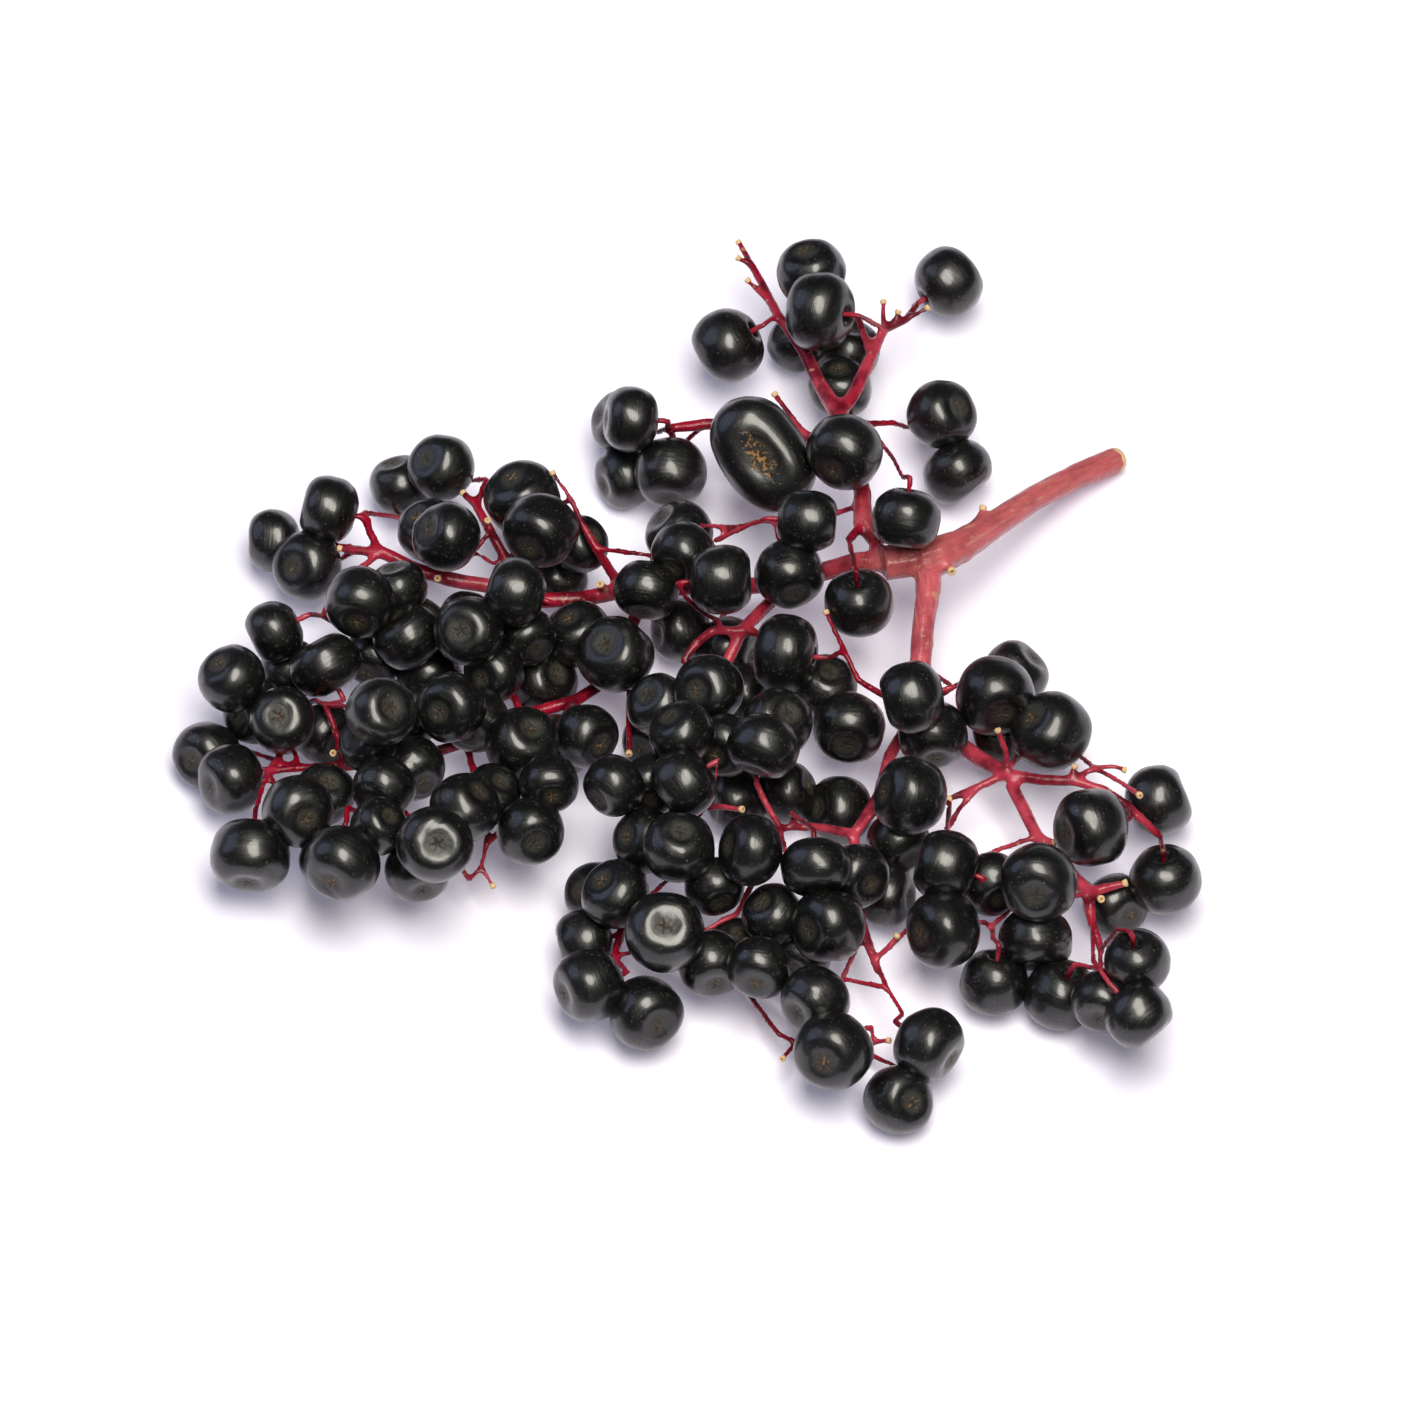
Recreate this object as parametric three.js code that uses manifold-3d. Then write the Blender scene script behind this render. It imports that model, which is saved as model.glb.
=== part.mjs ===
// A ripe head of elder (a cyme of elderberries), picked and laid on a table with its face up.
// The stalk comes in from the back right, splits into rays, the rays split into twigs,
// and every berry hangs on a thin stalk of its own. Millimetres, +Z up, the table is z = 0.
import * as THREE from 'three';
import { mergeVertices } from 'three/addons/utils/BufferGeometryUtils.js';
import Module from 'manifold-3d';

const solids = await Module();
solids.setup();

// ---------------------------------------------------------------- driving dimensions
const LEAN = { up: 0.6, out: 0.8 };      // the head's face leans back from the table: sine and cosine
const TABLE_BERRY = 3.3;                 // centre height of a berry that lies on the table
const LAYER = 5.2;                       // rise from one layer of berries to the next
const CLEARANCE = 0.12;                  // air between two pieces that nearly touch
const PRESSED = 0.88;                    // centre distance of two berries that grew pressed together
const FLATNESS = 0.9;                    // a berry's height over its width, unless it says otherwise
const BERRY_SIDES = 8;
const STALK_RADIUS = 0.4;                // the thin stalk of one berry
const APPROACH = 1.3;                    // length of it that runs straight into the stalk pit
const JOINT_GAP = 0.3;                   // slit between a ray and the stem it grows from
const RESTING = 0.5;                     // a berry with its lowest corner under this lies on the table

// Half a section through a berry: distance from the axis and height along it, both as shares
// of the berry's radius and half height. It starts in the stalk pit and ends on the flat crown.
const PIT_FLOOR = [0, -0.8];
const PIT_RIM = [0.24, -0.95];
const BERRY_SECTION = [PIT_FLOOR, PIT_RIM, [0.93, -0.42], [0.93, 0.38], [0.47, 0.93], [0, 0.93]];

const BERRY_BLACK = new THREE.MeshStandardMaterial({ color: 0x15161a, roughness: 0.34, metalness: 0 });
const STALK_RED = new THREE.MeshStandardMaterial({ color: 0xa3313f, roughness: 0.55, metalness: 0 });
const RAY_RED = new THREE.MeshStandardMaterial({ color: 0x8c1127, roughness: 0.5, metalness: 0 });

// ---------------------------------------------------------------- the berries
// berry(across, up, layer, radius, crown across, crown up): the first two place it on the head's
// face, the layer counts from the table, and the last two say where its crown shows on the face.
// far: the crown is on the side that faces the table. flat: height over width.
// stretch: length over width of a berry that isn't round, with its long way at an angle, lean.
function berry(across, up, layer, radius, crownAcross, crownUp, shape = {}) {
  const { far = false, flat = FLATNESS, stretch = 1, lean = 0 } = shape;
  return { across, up, layer, radius, crownAcross, crownUp, far, flat, stretch, lean };
}

// Berries that grew pressed against each other share a node. The first berry of a node has its
// layer, and each of the others lies before or behind the berry of its node that is nearest.
const BEFORE = 'before';
const BEHIND = 'behind';
const BERRIES = {
  // upper left
  berries_left_tip_1: [
    berry(-27.0, 24.4, 1.0, 3.4, -28.7, 25.3),
    berry(-31.2, 22.7, BEHIND, 3.2, -32.0, 25.0),
  ],
  berries_left_tip_2: [
    berry(-40.3, 14.2, 0.7, 3.5, -41.9, 14.1),
    berry(-43.9, 17.0, BEHIND, 3.2, -46.5, 17.1, { flat: 0.86 }),
    berry(-37.9, 20.6, BEFORE, 3.4, -40.9, 21.3, { flat: 0.88 }),
  ],
  berries_left_tip_3: [
    berry(-26.4, 17.4, 1.8, 3.5, -28.4, 18.3),
    berry(-28.2, 18.1, BEHIND, 3.2, -29.5, 19.5),
  ],
  berries_left_tip_4: [
    berry(-17.0, 18.0, 1.8, 3.8, -18.3, 16.1),
    berry(-19.1, 21.3, BEHIND, 3.8, -20.3, 23.5),
    berry(-13.0, 16.6, BEHIND, 2.9, -11.5, 17.5),
    berry(-15.2, 13.4, BEHIND, 3.0, -14.0, 14.5),
  ],
  // left, along its upper ray
  berries_left_1: [
    berry(-30.5, 6.3, 1.2, 3.4, -31.9, 8.6),
    berry(-34.6, 10.9, BEFORE, 3.6, -35.0, 8.7),
    berry(-28.2, 9.0, BEHIND, 3.4, -27.0, 11.0),
    berry(-28.3, 3.8, BEHIND, 3.2, -27.0, 2.5),
    berry(-34.2, 5.2, BEHIND, 3.0, -35.0, 3.5),
    berry(-31.4, 11.8, BEHIND, 3.0, -32.0, 14.0),
  ],
  berries_left_2: [
    berry(-42.4, 3.8, 0.3, 3.2, -43.0, 6.0),
    berry(-43.6, 7.8, BEFORE, 3.1, -46.0, 6.6, { far: true }),
    berry(-37.9, 4.6, BEFORE, 3.7, -39.3, 7.2, { flat: 0.8 }),
  ],
  berries_left_3: [
    berry(-45.3, 0.0, 0.2, 3.3, -47.3, -0.6),
    berry(-47.8, 3.1, BEFORE, 3.4, -49.3, 4.8),
    berry(-42.8, -1.0, BEFORE, 3.4, -43.3, -0.5),
    berry(-38.4, -2.4, BEHIND, 3.1, -37.0, -3.5),
  ],
  berries_left_4: [
    berry(-19.5, 10.9, 1.8, 3.5, -22.4, 11.7),
    berry(-23.5, 6.8, BEFORE, 3.5, -24.4, 6.9),
    berry(-18.2, 6.4, BEHIND, 3.0, -17.0, 5.0),
    berry(-25.4, 9.8, BEHIND, 3.0, -24.5, 11.5),
    berry(-21.6, 3.6, BEHIND, 3.0, -23.0, 3.0),
  ],
  berries_left_5: [
    berry(-13.0, 7.6, 0.9, 3.4, -14.0, 9.5),
    berry(-17.0, 2.9, BEFORE, 3.5, -15.4, 3.7),
    berry(-9.2, 5.1, BEFORE, 3.9, -10.3, 6.4),
  ],
  berries_left_6: [
    berry(-23.0, -1.5, 0.8, 3.3, -23.5, -3.0),
    berry(-25.5, 0.2, BEFORE, 3.5, -26.8, -0.3),
    berry(-19.6, -3.6, BEFORE, 3.7, -18.6, -1.9),
    berry(-29.6, -0.4, BEHIND, 3.0, -31.0, -0.8),
  ],
  berries_left_7: [berry(-32.8, -0.4, 1.9, 3.5, -31.6, 0.2)],
  berries_left_8: [
    berry(-29.3, -4.9, 0.9, 3.3, -28.0, -6.5),
    berry(-33.8, -7.9, BEFORE, 3.2, -35.0, -9.5),
    berry(-33.8, -4.2, BEHIND, 3.0, -35.5, -3.5),
  ],
  // lower left
  berries_left_low_1: [
    berry(-47.9, -6.9, 0.4, 3.5, -50.2, -7.6),
    berry(-50.3, -4.6, BEHIND, 3.4, -51.9, -5.3),
  ],
  berries_left_low_2: [
    berry(-38.6, -15.0, 0.2, 3.3, -39.5, -17.5),
    berry(-41.5, -10.1, BEFORE, 3.6, -40.5, -10.9),
    berry(-35.1, -14.8, BEFORE, 3.8, -36.3, -16.9),
    berry(-45.9, -14.6, BEHIND, 4.0, -46.2, -17.5, { flat: 0.87 }),
    berry(-37.6, -8.4, BEHIND, 3.1, -37.0, -7.0),
    berry(-33.2, -11.6, BEHIND, 2.9, -32.0, -10.5),
  ],
  berries_left_low_3: [
    berry(-26.6, -12.4, 1.8, 3.9, -26.3, -12.4),
    berry(-29.6, -16.4, BEHIND, 3.2, -29.0, -18.5),
    berry(-24.6, -10.3, BEHIND, 3.5, -23.0, -8.5),
    berry(-21.0, -7.9, BEHIND, 3.0, -20.0, -6.5),
  ],
  berries_left_low_4: [
    berry(-18.2, -11.6, 1.0, 3.4, -17.6, -12.9),
    berry(-16.4, -7.6, BEHIND, 3.0, -16.0, -9.0),
  ],
  berries_left_low_5: [
    berry(-12.4, -2.6, 0.65, 3.2, -10.8, -3.6),
    berry(-15.0, -3.6, BEHIND, 3.2, -16.5, -3.0),
  ],
  // top
  berries_top_1: [
    berry(11.0, 40.1, 1.8, 4.0, 8.2, 40.4, { far: true, flat: 0.82 }),
    berry(10.2, 44.2, BEHIND, 3.5, 9.5, 46.5),
  ],
  berries_top_2: [berry(1.8, 36.8, 0.8, 3.8, -0.8, 35.3, { far: true, flat: 0.88 })],
  berries_top_3: [
    berry(13.5, 36.6, 0.5, 3.4, 14.0, 39.0),
    berry(9.3, 37.0, BEHIND, 3.0, 8.0, 38.5),
    berry(13.2, 32.9, BEFORE, 3.2, 13.0, 35.0),
  ],
  berries_top_4: [berry(24.1, 43.3, 0.4, 3.6, 26.5, 45.0, { far: true })],
  berries_top_5: [
    berry(23.2, 30.1, 0.9, 3.55, 25.2, 31.0),
    berry(25.0, 23.6, BEFORE, 3.6, 26.7, 21.3, { far: true, flat: 0.84 }),
  ],
  berries_top_6: [berry(13.5, 25.9, 2.3, 3.85, 12.2, 23.8)],
  berries_top_7: [
    berry(-8.9, 29.1, 0.3, 3.2, -11.3, 29.8),
    berry(-8.1, 29.2, BEFORE, 3.3, -10.7, 29.3, { flat: 0.86 }),
    berry(-8.5, 23.4, BEHIND, 3.2, -10.8, 22.5),
    berry(-4.0, 23.9, BEFORE, 3.7, -4.2, 21.2),
  ],
  berries_top_8: [
    berry(-3.1, 17.7, 1.3, 3.4, -5.0, 19.5),
    berry(-2.6, 15.8, BEFORE, 3.2, -3.8, 14.0),
    berry(-6.4, 11.9, BEFORE, 3.3, -6.9, 9.6, { flat: 0.86 }),
    berry(1.1, 13.0, BEFORE, 3.5, 4.4, 13.2, { flat: 0.98 }),
  ],
  // one berry that grew as two, with a long scar in place of a crown
  berry_twin: [berry(5.3, 25.7, 2.2, 4.4, 5.0, 25.3, { flat: 0.8, stretch: 1.4, lean: -54 })],
  // middle
  berries_middle_1: [
    berry(-3.0, 8.0, 0.2, 3.2, -5.4, 7.6),
    berry(1.9, 6.1, BEFORE, 3.3, 4.3, 5.3),
    berry(3.4, 1.6, BEFORE, 3.1, 5.6, 0.7),
  ],
  berries_middle_2: [
    berry(7.9, 13.6, 1.7, 3.5, 8.5, 11.5),
    berry(9.8, 18.9, BEFORE, 3.1, 13.0, 18.7, { flat: 1.05 }),
  ],
  berries_middle_3: [berry(19.6, 19.1, 2.5, 3.5, 19.3, 16.2, { far: true })],
  berries_middle_4: [berry(14.9, 10.7, 1.8, 3.45, 15.1, 8.5, { far: true, flat: 0.93 })],
  berries_middle_5: [
    berry(11.5, 2.4, 0.8, 3.2, 12.0, 4.0),
    berry(7.5, 5.6, BEFORE, 4.0, 4.5, 5.9, { far: true, flat: 0.82 }),
    berry(13.8, -1.7, BEFORE, 3.65, 13.6, -3.7),
  ],
  berries_middle_6: [
    berry(-4.6, 0.3, 1.0, 3.3, -6.0, 1.5),
    berry(-0.6, 1.3, BEFORE, 3.5, -1.9, 1.2),
    berry(-5.4, -2.5, BEHIND, 3.3, -7.0, -3.5),
  ],
  berries_middle_7: [
    berry(4.9, -3.8, 1.9, 3.6, 3.8, -6.4, { flat: 0.87 }),
    berry(6.8, -1.1, BEHIND, 3.5, 8.0, 0.0),
    berry(1.0, -2.8, BEHIND, 3.2, 0.0, -4.0),
  ],
  berries_middle_8: [
    berry(-2.2, -6.9, 1.9, 3.4, -4.6, -8.6),
    berry(-6.2, -7.8, BEHIND, 3.1, -6.0, -9.5),
    berry(-2.2, -2.8, BEHIND, 3.3, -3.5, -1.0),
    berry(-9.7, -7.6, BEFORE, 3.1, -11.5, -9.0),
  ],
  berries_middle_9: [
    berry(13.7, -10.3, 0.1, 3.4, 11.4, -10.0),
    berry(7.5, -8.0, BEFORE, 3.2, 9.8, -7.2),
    berry(2.2, -9.0, BEFORE, 3.3, -0.3, -9.6),
  ],
  // bottom
  berries_bottom_1: [
    berry(-3.2, -13.6, 1.9, 3.6, -2.9, -11.8),
    berry(-6.5, -13.6, BEHIND, 3.3, -8.5, -13.0),
    berry(0.5, -17.5, BEHIND, 3.0, 1.0, -19.5),
    berry(4.0, -13.9, BEFORE, 3.6, 1.6, -13.4, { flat: 0.82 }),
  ],
  berries_bottom_2: [
    berry(-12.0, -18.9, 0, 3.3, -14.0, -18.5),
    berry(-8.1, -18.4, BEFORE, 3.5, -9.6, -16.9, { flat: 0.86 }),
    berry(-12.2, -22.8, BEFORE, 3.3, -15.0, -23.4),
  ],
  berries_bottom_3: [
    berry(0.5, -25.3, 0.2, 3.4, 1.0, -27.5),
    berry(-4.9, -21.7, BEFORE, 4.0, -4.8, -20.9),
    berry(4.7, -25.5, BEFORE, 3.2, 4.4, -27.3),
    berry(2.6, -21.9, BEHIND, 2.9, 3.0, -20.5),
  ],
  berries_bottom_4: [
    berry(11.8, -21.6, 1.3, 3.75, 9.6, -22.0),
    berry(10.6, -15.4, BEHIND, 3.5, 10.8, -17.9, { flat: 0.82 }),
    berry(6.3, -20.4, BEHIND, 3.2, 5.0, -19.0),
    berry(14.6, -16.6, BEHIND, 3.2, 16.0, -17.5),
    berry(9.0, -24.6, BEHIND, 3.0, 8.0, -26.0),
  ],
  berries_bottom_5: [
    berry(18.8, -13.1, 0.7, 3.2, 20.0, -15.0),
    berry(19.9, -8.5, BEFORE, 3.9, 17.1, -8.0, { flat: 0.87 }),
    berry(17.6, -18.4, BEFORE, 3.3, 20.0, -18.7, { flat: 0.84 }),
  ],
  berries_bottom_6: [
    berry(12.2, -33.8, 0.8, 3.9, 11.2, -35.0, { flat: 0.92 }),
    berry(10.4, -28.8, BEHIND, 3.5, 8.4, -30.2),
  ],
  berries_bottom_7: [
    berry(21.8, -33.0, 0.4, 3.7, 24.2, -34.6, { flat: 0.88 }),
    berry(18.6, -39.0, BEFORE, 3.5, 20.1, -39.2),
  ],
  berries_bottom_8: [
    berry(-12.3, -27.2, 0.6, 3.7, -15.0, -28.1),
    berry(-6.1, -30.3, BEFORE, 3.7, -4.8, -31.5),
  ],
  // right
  berries_right_1: [berry(20.1, 1.3, 2.2, 3.6, 17.0, 0.6), berry(22.3, -2.5, BEHIND, 3.5, 22.6, -5.0)],
  berries_right_2: [
    berry(28.5, 1.4, 1.3, 4.0, 29.3, -0.6),
    berry(30.5, 3.6, BEHIND, 3.4, 32.5, 5.4),
    berry(34.0, -2.2, BEFORE, 4.0, 32.0, -0.6),
    berry(28.8, -2.9, BEHIND, 3.0, 26.4, -3.7),
  ],
  berries_right_3: [
    berry(23.4, -15.5, 1.5, 3.6, 20.5, -14.6),
    berry(23.2, -21.8, BEFORE, 3.85, 20.6, -22.3),
    berry(28.0, -17.3, BEHIND, 3.2, 29.0, -19.0),
  ],
  berries_right_4: [berry(37.9, -11.7, 1.2, 3.95, 35.1, -12.3)],
  berries_right_5: [berry(44.8, -9.1, 0.6, 3.6, 47.7, -8.0)],
  berries_right_6: [
    berry(45.0, -17.0, 0.7, 3.65, 45.2, -19.4, { far: true }),
    berry(40.6, -19.4, BEHIND, 3.2, 42.0, -20.5),
  ],
  berries_right_7: [
    berry(32.5, -17.1, 1.8, 3.95, 32.2, -18.5),
    berry(32.6, -22.6, BEHIND, 3.7, 32.6, -25.4, { flat: 0.85 }),
    berry(35.3, -28.4, BEFORE, 3.6, 34.4, -30.6, { far: true, flat: 0.94 }),
    berry(27.9, -27.4, BEFORE, 3.4, 27.5, -30.0, { far: true, flat: 0.94 }),
  ],
  berries_right_8: [
    berry(42.2, -25.2, 0.6, 3.3, 42.6, -27.2, { far: true, flat: 0.92 }),
    berry(42.5, -30.1, BEFORE, 3.4, 44.4, -32.2),
    berry(38.6, -28.6, BEHIND, 3.2, 38.0, -30.5),
  ],
};

// ---------------------------------------------------------------- the stems
// Each stem is a list of branches, and each branch a list of [across, up, height, radius].
const STEMS = {
  stalk: [
    [[40.9, 25.2, 1.7, 1.62], [37.0, 23.6, 3.6, 1.55], [32.4, 21.2, 6.2, 1.52], [28.6, 18.7, 8.3, 1.65],
      [25.2, 16.5, 10.0, 1.95], [22.6, 15.4, 10.9, 2.35], [20.6, 15.0, 11.2, 2.0]],
    [[26.6, 17.8, 9.4, 0.9], [27.4, 20.3, 9.7, 0.45]],
    [[23.2, 15.6, 10.6, 0.8], [24.2, 13.9, 11.6, 0.5]],
  ],
  ray_front: [
    [[22.0, 13.0, 10.8, 1.5], [21.4, 9.0, 10.2, 1.35], [21.0, 4.5, 9.0, 1.3], [21.8, 0.6, 5.4, 1.15],
      [24.2, -2.8, 4.4, 1.05], [26.8, -4.8, 5.4, 0.95], [29.6, -6.4, 7.2, 0.95]],
    [[29.6, -6.4, 7.2, 0.6], [29.6, -4.3, 9.2, 0.45], [28.7, -2.0, 11.2, 0.4]],
    [[29.6, -6.4, 7.2, 0.6], [26.9, -7.6, 6.6, 0.5], [23.8, -8.9, 6.0, 0.42]],
    [[26.9, -7.6, 6.6, 0.45], [24.9, -9.8, 6.2, 0.4], [23.6, -12.0, 6.0, 0.42]],
    [[21.0, 3.4, 8.6, 0.6], [17.4, 1.4, 9.0, 0.5], [14.8, 3.0, 10.4, 0.42], [13.4, 6.0, 11.6, 0.4],
      [11.6, 9.8, 12.6, 0.34]],
  ],
  ray_right: [
    [[30.4, -6.6, 7.3, 0.75], [33.4, -7.0, 7.6, 0.7], [36.4, -7.1, 7.8, 0.65], [39.4, -8.0, 7.4, 0.6],
      [41.8, -9.7, 7.2, 0.6], [44.8, -12.6, 7.4, 0.5]],
    [[36.0, -7.0, 7.8, 0.5], [38.4, -5.8, 8.0, 0.42], [40.3, -5.6, 8.0, 0.38], [41.4, -6.0, 7.6, 0.36]],
    [[36.0, -7.0, 7.8, 0.45], [36.4, -5.6, 8.8, 0.4]],
    [[38.4, -5.8, 8.0, 0.38], [40.8, -7.1, 9.6, 0.4], [42.8, -8.5, 10.8, 0.42]],
  ],
  ray_right_low: [
    [[30.0, -7.4, 7.0, 0.85], [31.2, -9.8, 6.9, 0.82], [32.6, -12.6, 6.6, 0.8], [35.2, -15.4, 6.3, 0.85],
      [37.6, -18.2, 6.6, 0.9], [38.0, -21.2, 6.0, 0.6], [38.9, -23.8, 5.6, 0.5]],
    [[32.5, -12.4, 6.7, 0.5], [34.4, -13.2, 7.6, 0.42]],
    [[37.6, -18.2, 6.6, 0.5], [36.2, -18.5, 8.0, 0.45]],
    [[37.6, -18.2, 6.6, 0.5], [38.9, -18.8, 7.9, 0.45]],
    [[37.6, -18.2, 6.6, 0.75], [39.6, -17.7, 7.0, 0.6], [41.4, -17.2, 7.4, 0.45]],
    [[38.8, -23.4, 5.6, 0.45], [38.8, -25.8, 6.0, 0.42]],
    [[35.2, -15.4, 6.3, 0.5], [31.0, -18.8, 4.4, 0.45], [28.2, -21.4, 5.4, 0.42]],
  ],
  ray_left: [
    [[19.2, 15.0, 11.0, 1.35], [14.6, 14.8, 10.2, 1.2], [11.4, 13.9, 8.4, 1.15], [7.8, 12.9, 6.2, 1.1],
      [3.6, 12.4, 4.7, 1.0], [-1.2, 12.4, 3.6, 0.95], [-5.6, 12.2, 3.6, 0.95], [-9.6, 11.8, 5.0, 1.0],
      [-13.2, 11.1, 6.0, 0.95], [-17.0, 11.0, 6.2, 0.95], [-21.2, 12.3, 6.2, 0.95], [-25.6, 13.0, 6.8, 0.9],
      [-29.6, 14.1, 7.8, 0.85], [-33.2, 16.0, 8.6, 0.75]],
    [[-33.0, 15.8, 8.6, 0.5], [-37.4, 12.4, 8.4, 0.48], [-38.8, 9.4, 8.8, 0.42]],
    [[-33.0, 15.8, 8.6, 0.6], [-34.2, 18.0, 8.8, 0.5], [-34.8, 19.8, 8.8, 0.42]],
    [[-33.0, 15.8, 8.6, 0.65], [-35.4, 16.0, 8.6, 0.55], [-37.2, 16.2, 8.4, 0.42]],
    [[-19.2, 11.6, 6.4, 0.75], [-20.4, 15.0, 8.0, 0.68], [-22.2, 18.2, 9.2, 0.65],
      [-23.5, 20.6, 9.2, 0.55], [-24.8, 21.8, 8.6, 0.42]],
    [[-23.4, 20.4, 9.2, 0.5], [-22.9, 22.0, 9.2, 0.46], [-22.4, 23.2, 9.0, 0.42]],
    [[-22.2, 18.2, 9.2, 0.5], [-22.3, 19.0, 10.3, 0.4]],
    [[-21.6, 17.2, 8.9, 0.5], [-22.2, 17.8, 10.1, 0.4]],
    [[-20.4, 14.6, 7.8, 0.4], [-21.8, 14.7, 7.6, 0.36], [-23.4, 15.7, 7.2, 0.34]],
    [[-8.2, 11.9, 4.8, 0.7], [-9.9, 13.8, 7.6, 0.65], [-11.4, 16.2, 11.0, 0.62], [-13.0, 19.0, 12.2, 0.42],
      [-13.8, 21.0, 12.8, 0.34], [-15.8, 23.8, 13.4, 0.3]],
    [[-9.8, 11.7, 5.4, 0.6], [-11.0, 12.6, 7.8, 0.45]],
    [[-27.0, 13.3, 7.2, 0.5], [-27.3, 13.2, 8.5, 0.42]],
    [[-7.0, 11.8, 4.4, 0.55], [-7.6, 7.6, 4.8, 0.5], [-7.8, 4.4, 5.8, 0.45], [-8.2, 0.4, 6.0, 0.42],
      [-8.1, -4.4, 6.0, 0.42]],
  ],
  ray_left_low: [
    [[-6.8, 11.0, 4.2, 0.85], [-9.0, 6.0, 4.4, 0.8], [-10.2, 3.0, 4.6, 0.8], [-13.6, 0.9, 4.8, 0.8],
      [-18.8, -0.6, 4.8, 0.8], [-24.4, -3.2, 4.6, 0.75], [-30.6, -5.2, 4.4, 0.7], [-36.6, -5.6, 5.6, 0.65],
      [-41.0, -5.8, 6.8, 0.5], [-44.2, -6.1, 7.2, 0.42]],
    [[-36.6, -5.5, 5.8, 0.55], [-37.0, -3.4, 8.4, 0.5], [-37.7, -1.2, 9.8, 0.46], [-38.4, 0.5, 10.6, 0.42]],
    [[-37.0, -3.6, 8.2, 0.45], [-36.2, -2.6, 9.8, 0.42]],
    [[-37.0, -3.8, 8.0, 0.45], [-37.6, -4.3, 9.4, 0.42]],
    [[-36.6, -5.4, 6.0, 0.45], [-36.2, -4.9, 8.0, 0.42]],
    [[-30.6, -5.2, 4.6, 0.55], [-31.4, -8.2, 4.4, 0.55], [-31.8, -10.4, 6.4, 0.5], [-31.4, -11.4, 8.0, 0.42]],
    [[-31.8, -10.2, 6.2, 0.48], [-34.4, -10.6, 7.2, 0.45], [-36.2, -9.6, 8.4, 0.42]],
    [[-31.8, -10.4, 6.4, 0.45], [-30.6, -9.9, 7.8, 0.42]],
    [[-24.4, -3.2, 4.8, 0.55], [-23.6, -6.2, 5.4, 0.5], [-22.0, -9.4, 6.2, 0.45], [-22.3, -13.4, 5.4, 0.42],
      [-22.8, -15.6, 4.8, 0.38], [-24.0, -17.0, 4.6, 0.34]],
    [[-22.8, -15.6, 4.8, 0.36], [-21.6, -17.6, 4.2, 0.32]],
    [[-18.8, -0.6, 5.0, 0.55], [-20.8, 4.2, 5.6, 0.5], [-24.4, 9.6, 6.0, 0.42]],
  ],
  ray_top: [
    [[17.2, 16.6, 11.2, 1.15], [15.3, 18.8, 11.6, 1.25], [15.3, 21.8, 11.4, 1.05], [14.4, 25.6, 10.6, 1.0],
      [13.0, 29.5, 9.9, 1.1], [11.2, 32.6, 9.4, 0.9], [9.4, 36.4, 8.9, 0.8], [6.8, 39.9, 8.6, 0.6],
      [5.2, 43.2, 8.2, 0.5], [2.9, 47.3, 7.8, 0.36]],
    [[13.0, 29.5, 9.9, 0.9], [14.6, 32.0, 9.6, 0.9], [16.5, 36.2, 9.0, 0.75], [17.6, 38.4, 8.6, 0.6],
      [19.8, 39.4, 8.4, 0.5], [20.8, 40.8, 7.8, 0.4]],
    [[17.4, 38.0, 8.7, 0.45], [17.5, 41.2, 8.9, 0.38]],
    [[18.4, 38.7, 8.5, 0.45], [19.0, 40.2, 9.2, 0.38]],
    [[19.8, 39.4, 8.4, 0.4], [22.0, 40.6, 9.2, 0.36]],
    [[16.3, 35.6, 9.2, 0.6], [14.9, 39.6, 8.4, 0.5]],
    [[6.2, 41.0, 8.5, 0.45], [3.8, 43.4, 9.0, 0.36]],
    [[4.4, 44.8, 8.1, 0.4], [2.8, 45.7, 8.6, 0.34]],
    [[14.4, 25.6, 10.6, 0.8], [9.6, 27.6, 9.2, 0.7], [4.4, 28.7, 8.8, 0.7], [-0.4, 28.8, 8.8, 0.75],
      [-4.4, 28.3, 8.6, 0.6]],
    [[9.6, 27.6, 9.2, 0.5], [6.5, 31.8, 9.6, 0.4]],
    [[13.6, 28.0, 10.2, 0.6], [16.4, 28.8, 9.8, 0.45], [18.4, 28.9, 9.2, 0.4]],
    [[14.0, 27.2, 10.4, 0.5], [16.6, 27.6, 11.6, 0.42], [18.4, 25.2, 14.4, 0.36], [19.3, 23.3, 16.4, 0.36]],
    [[15.3, 20.6, 11.5, 0.5], [12.2, 19.6, 9.6, 0.45], [6.4, 19.2, 10.2, 0.42], [2.6, 18.3, 11.2, 0.4],
      [0.4, 16.9, 11.8, 0.34]],
    [[15.3, 18.8, 11.6, 0.7], [13.9, 17.0, 12.6, 0.55]],
  ],
  ray_middle: [
    [[7.4, 12.2, 6.8, 0.85], [5.4, 10.2, 8.2, 0.85], [3.2, 8.0, 8.8, 0.8], [1.8, 5.0, 7.2, 0.8],
      [0.9, 2.8, 6.4, 0.8], [-1.2, -0.6, 6.2, 0.75], [-3.2, -5.0, 6.2, 0.7], [-4.6, -10.4, 6.4, 0.6],
      [-6.6, -16.0, 6.4, 0.55], [-8.6, -21.0, 6.0, 0.5], [-9.6, -24.6, 5.6, 0.42]],
    [[-4.6, -10.4, 6.4, 0.5], [0.8, -9.6, 8.4, 0.45], [3.2, -9.9, 9.4, 0.42]],
    [[3.2, 8.0, 9.0, 0.65], [0.2, 7.9, 9.3, 0.6], [-1.4, 6.6, 9.2, 0.58], [-2.8, 4.8, 8.4, 0.5]],
    [[3.2, 8.0, 9.0, 0.6], [4.8, 7.7, 8.6, 0.5]],
    [[0.6, 7.9, 9.3, 0.45], [1.1, 8.8, 10.4, 0.42]],
  ],
  ray_bottom: [
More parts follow.
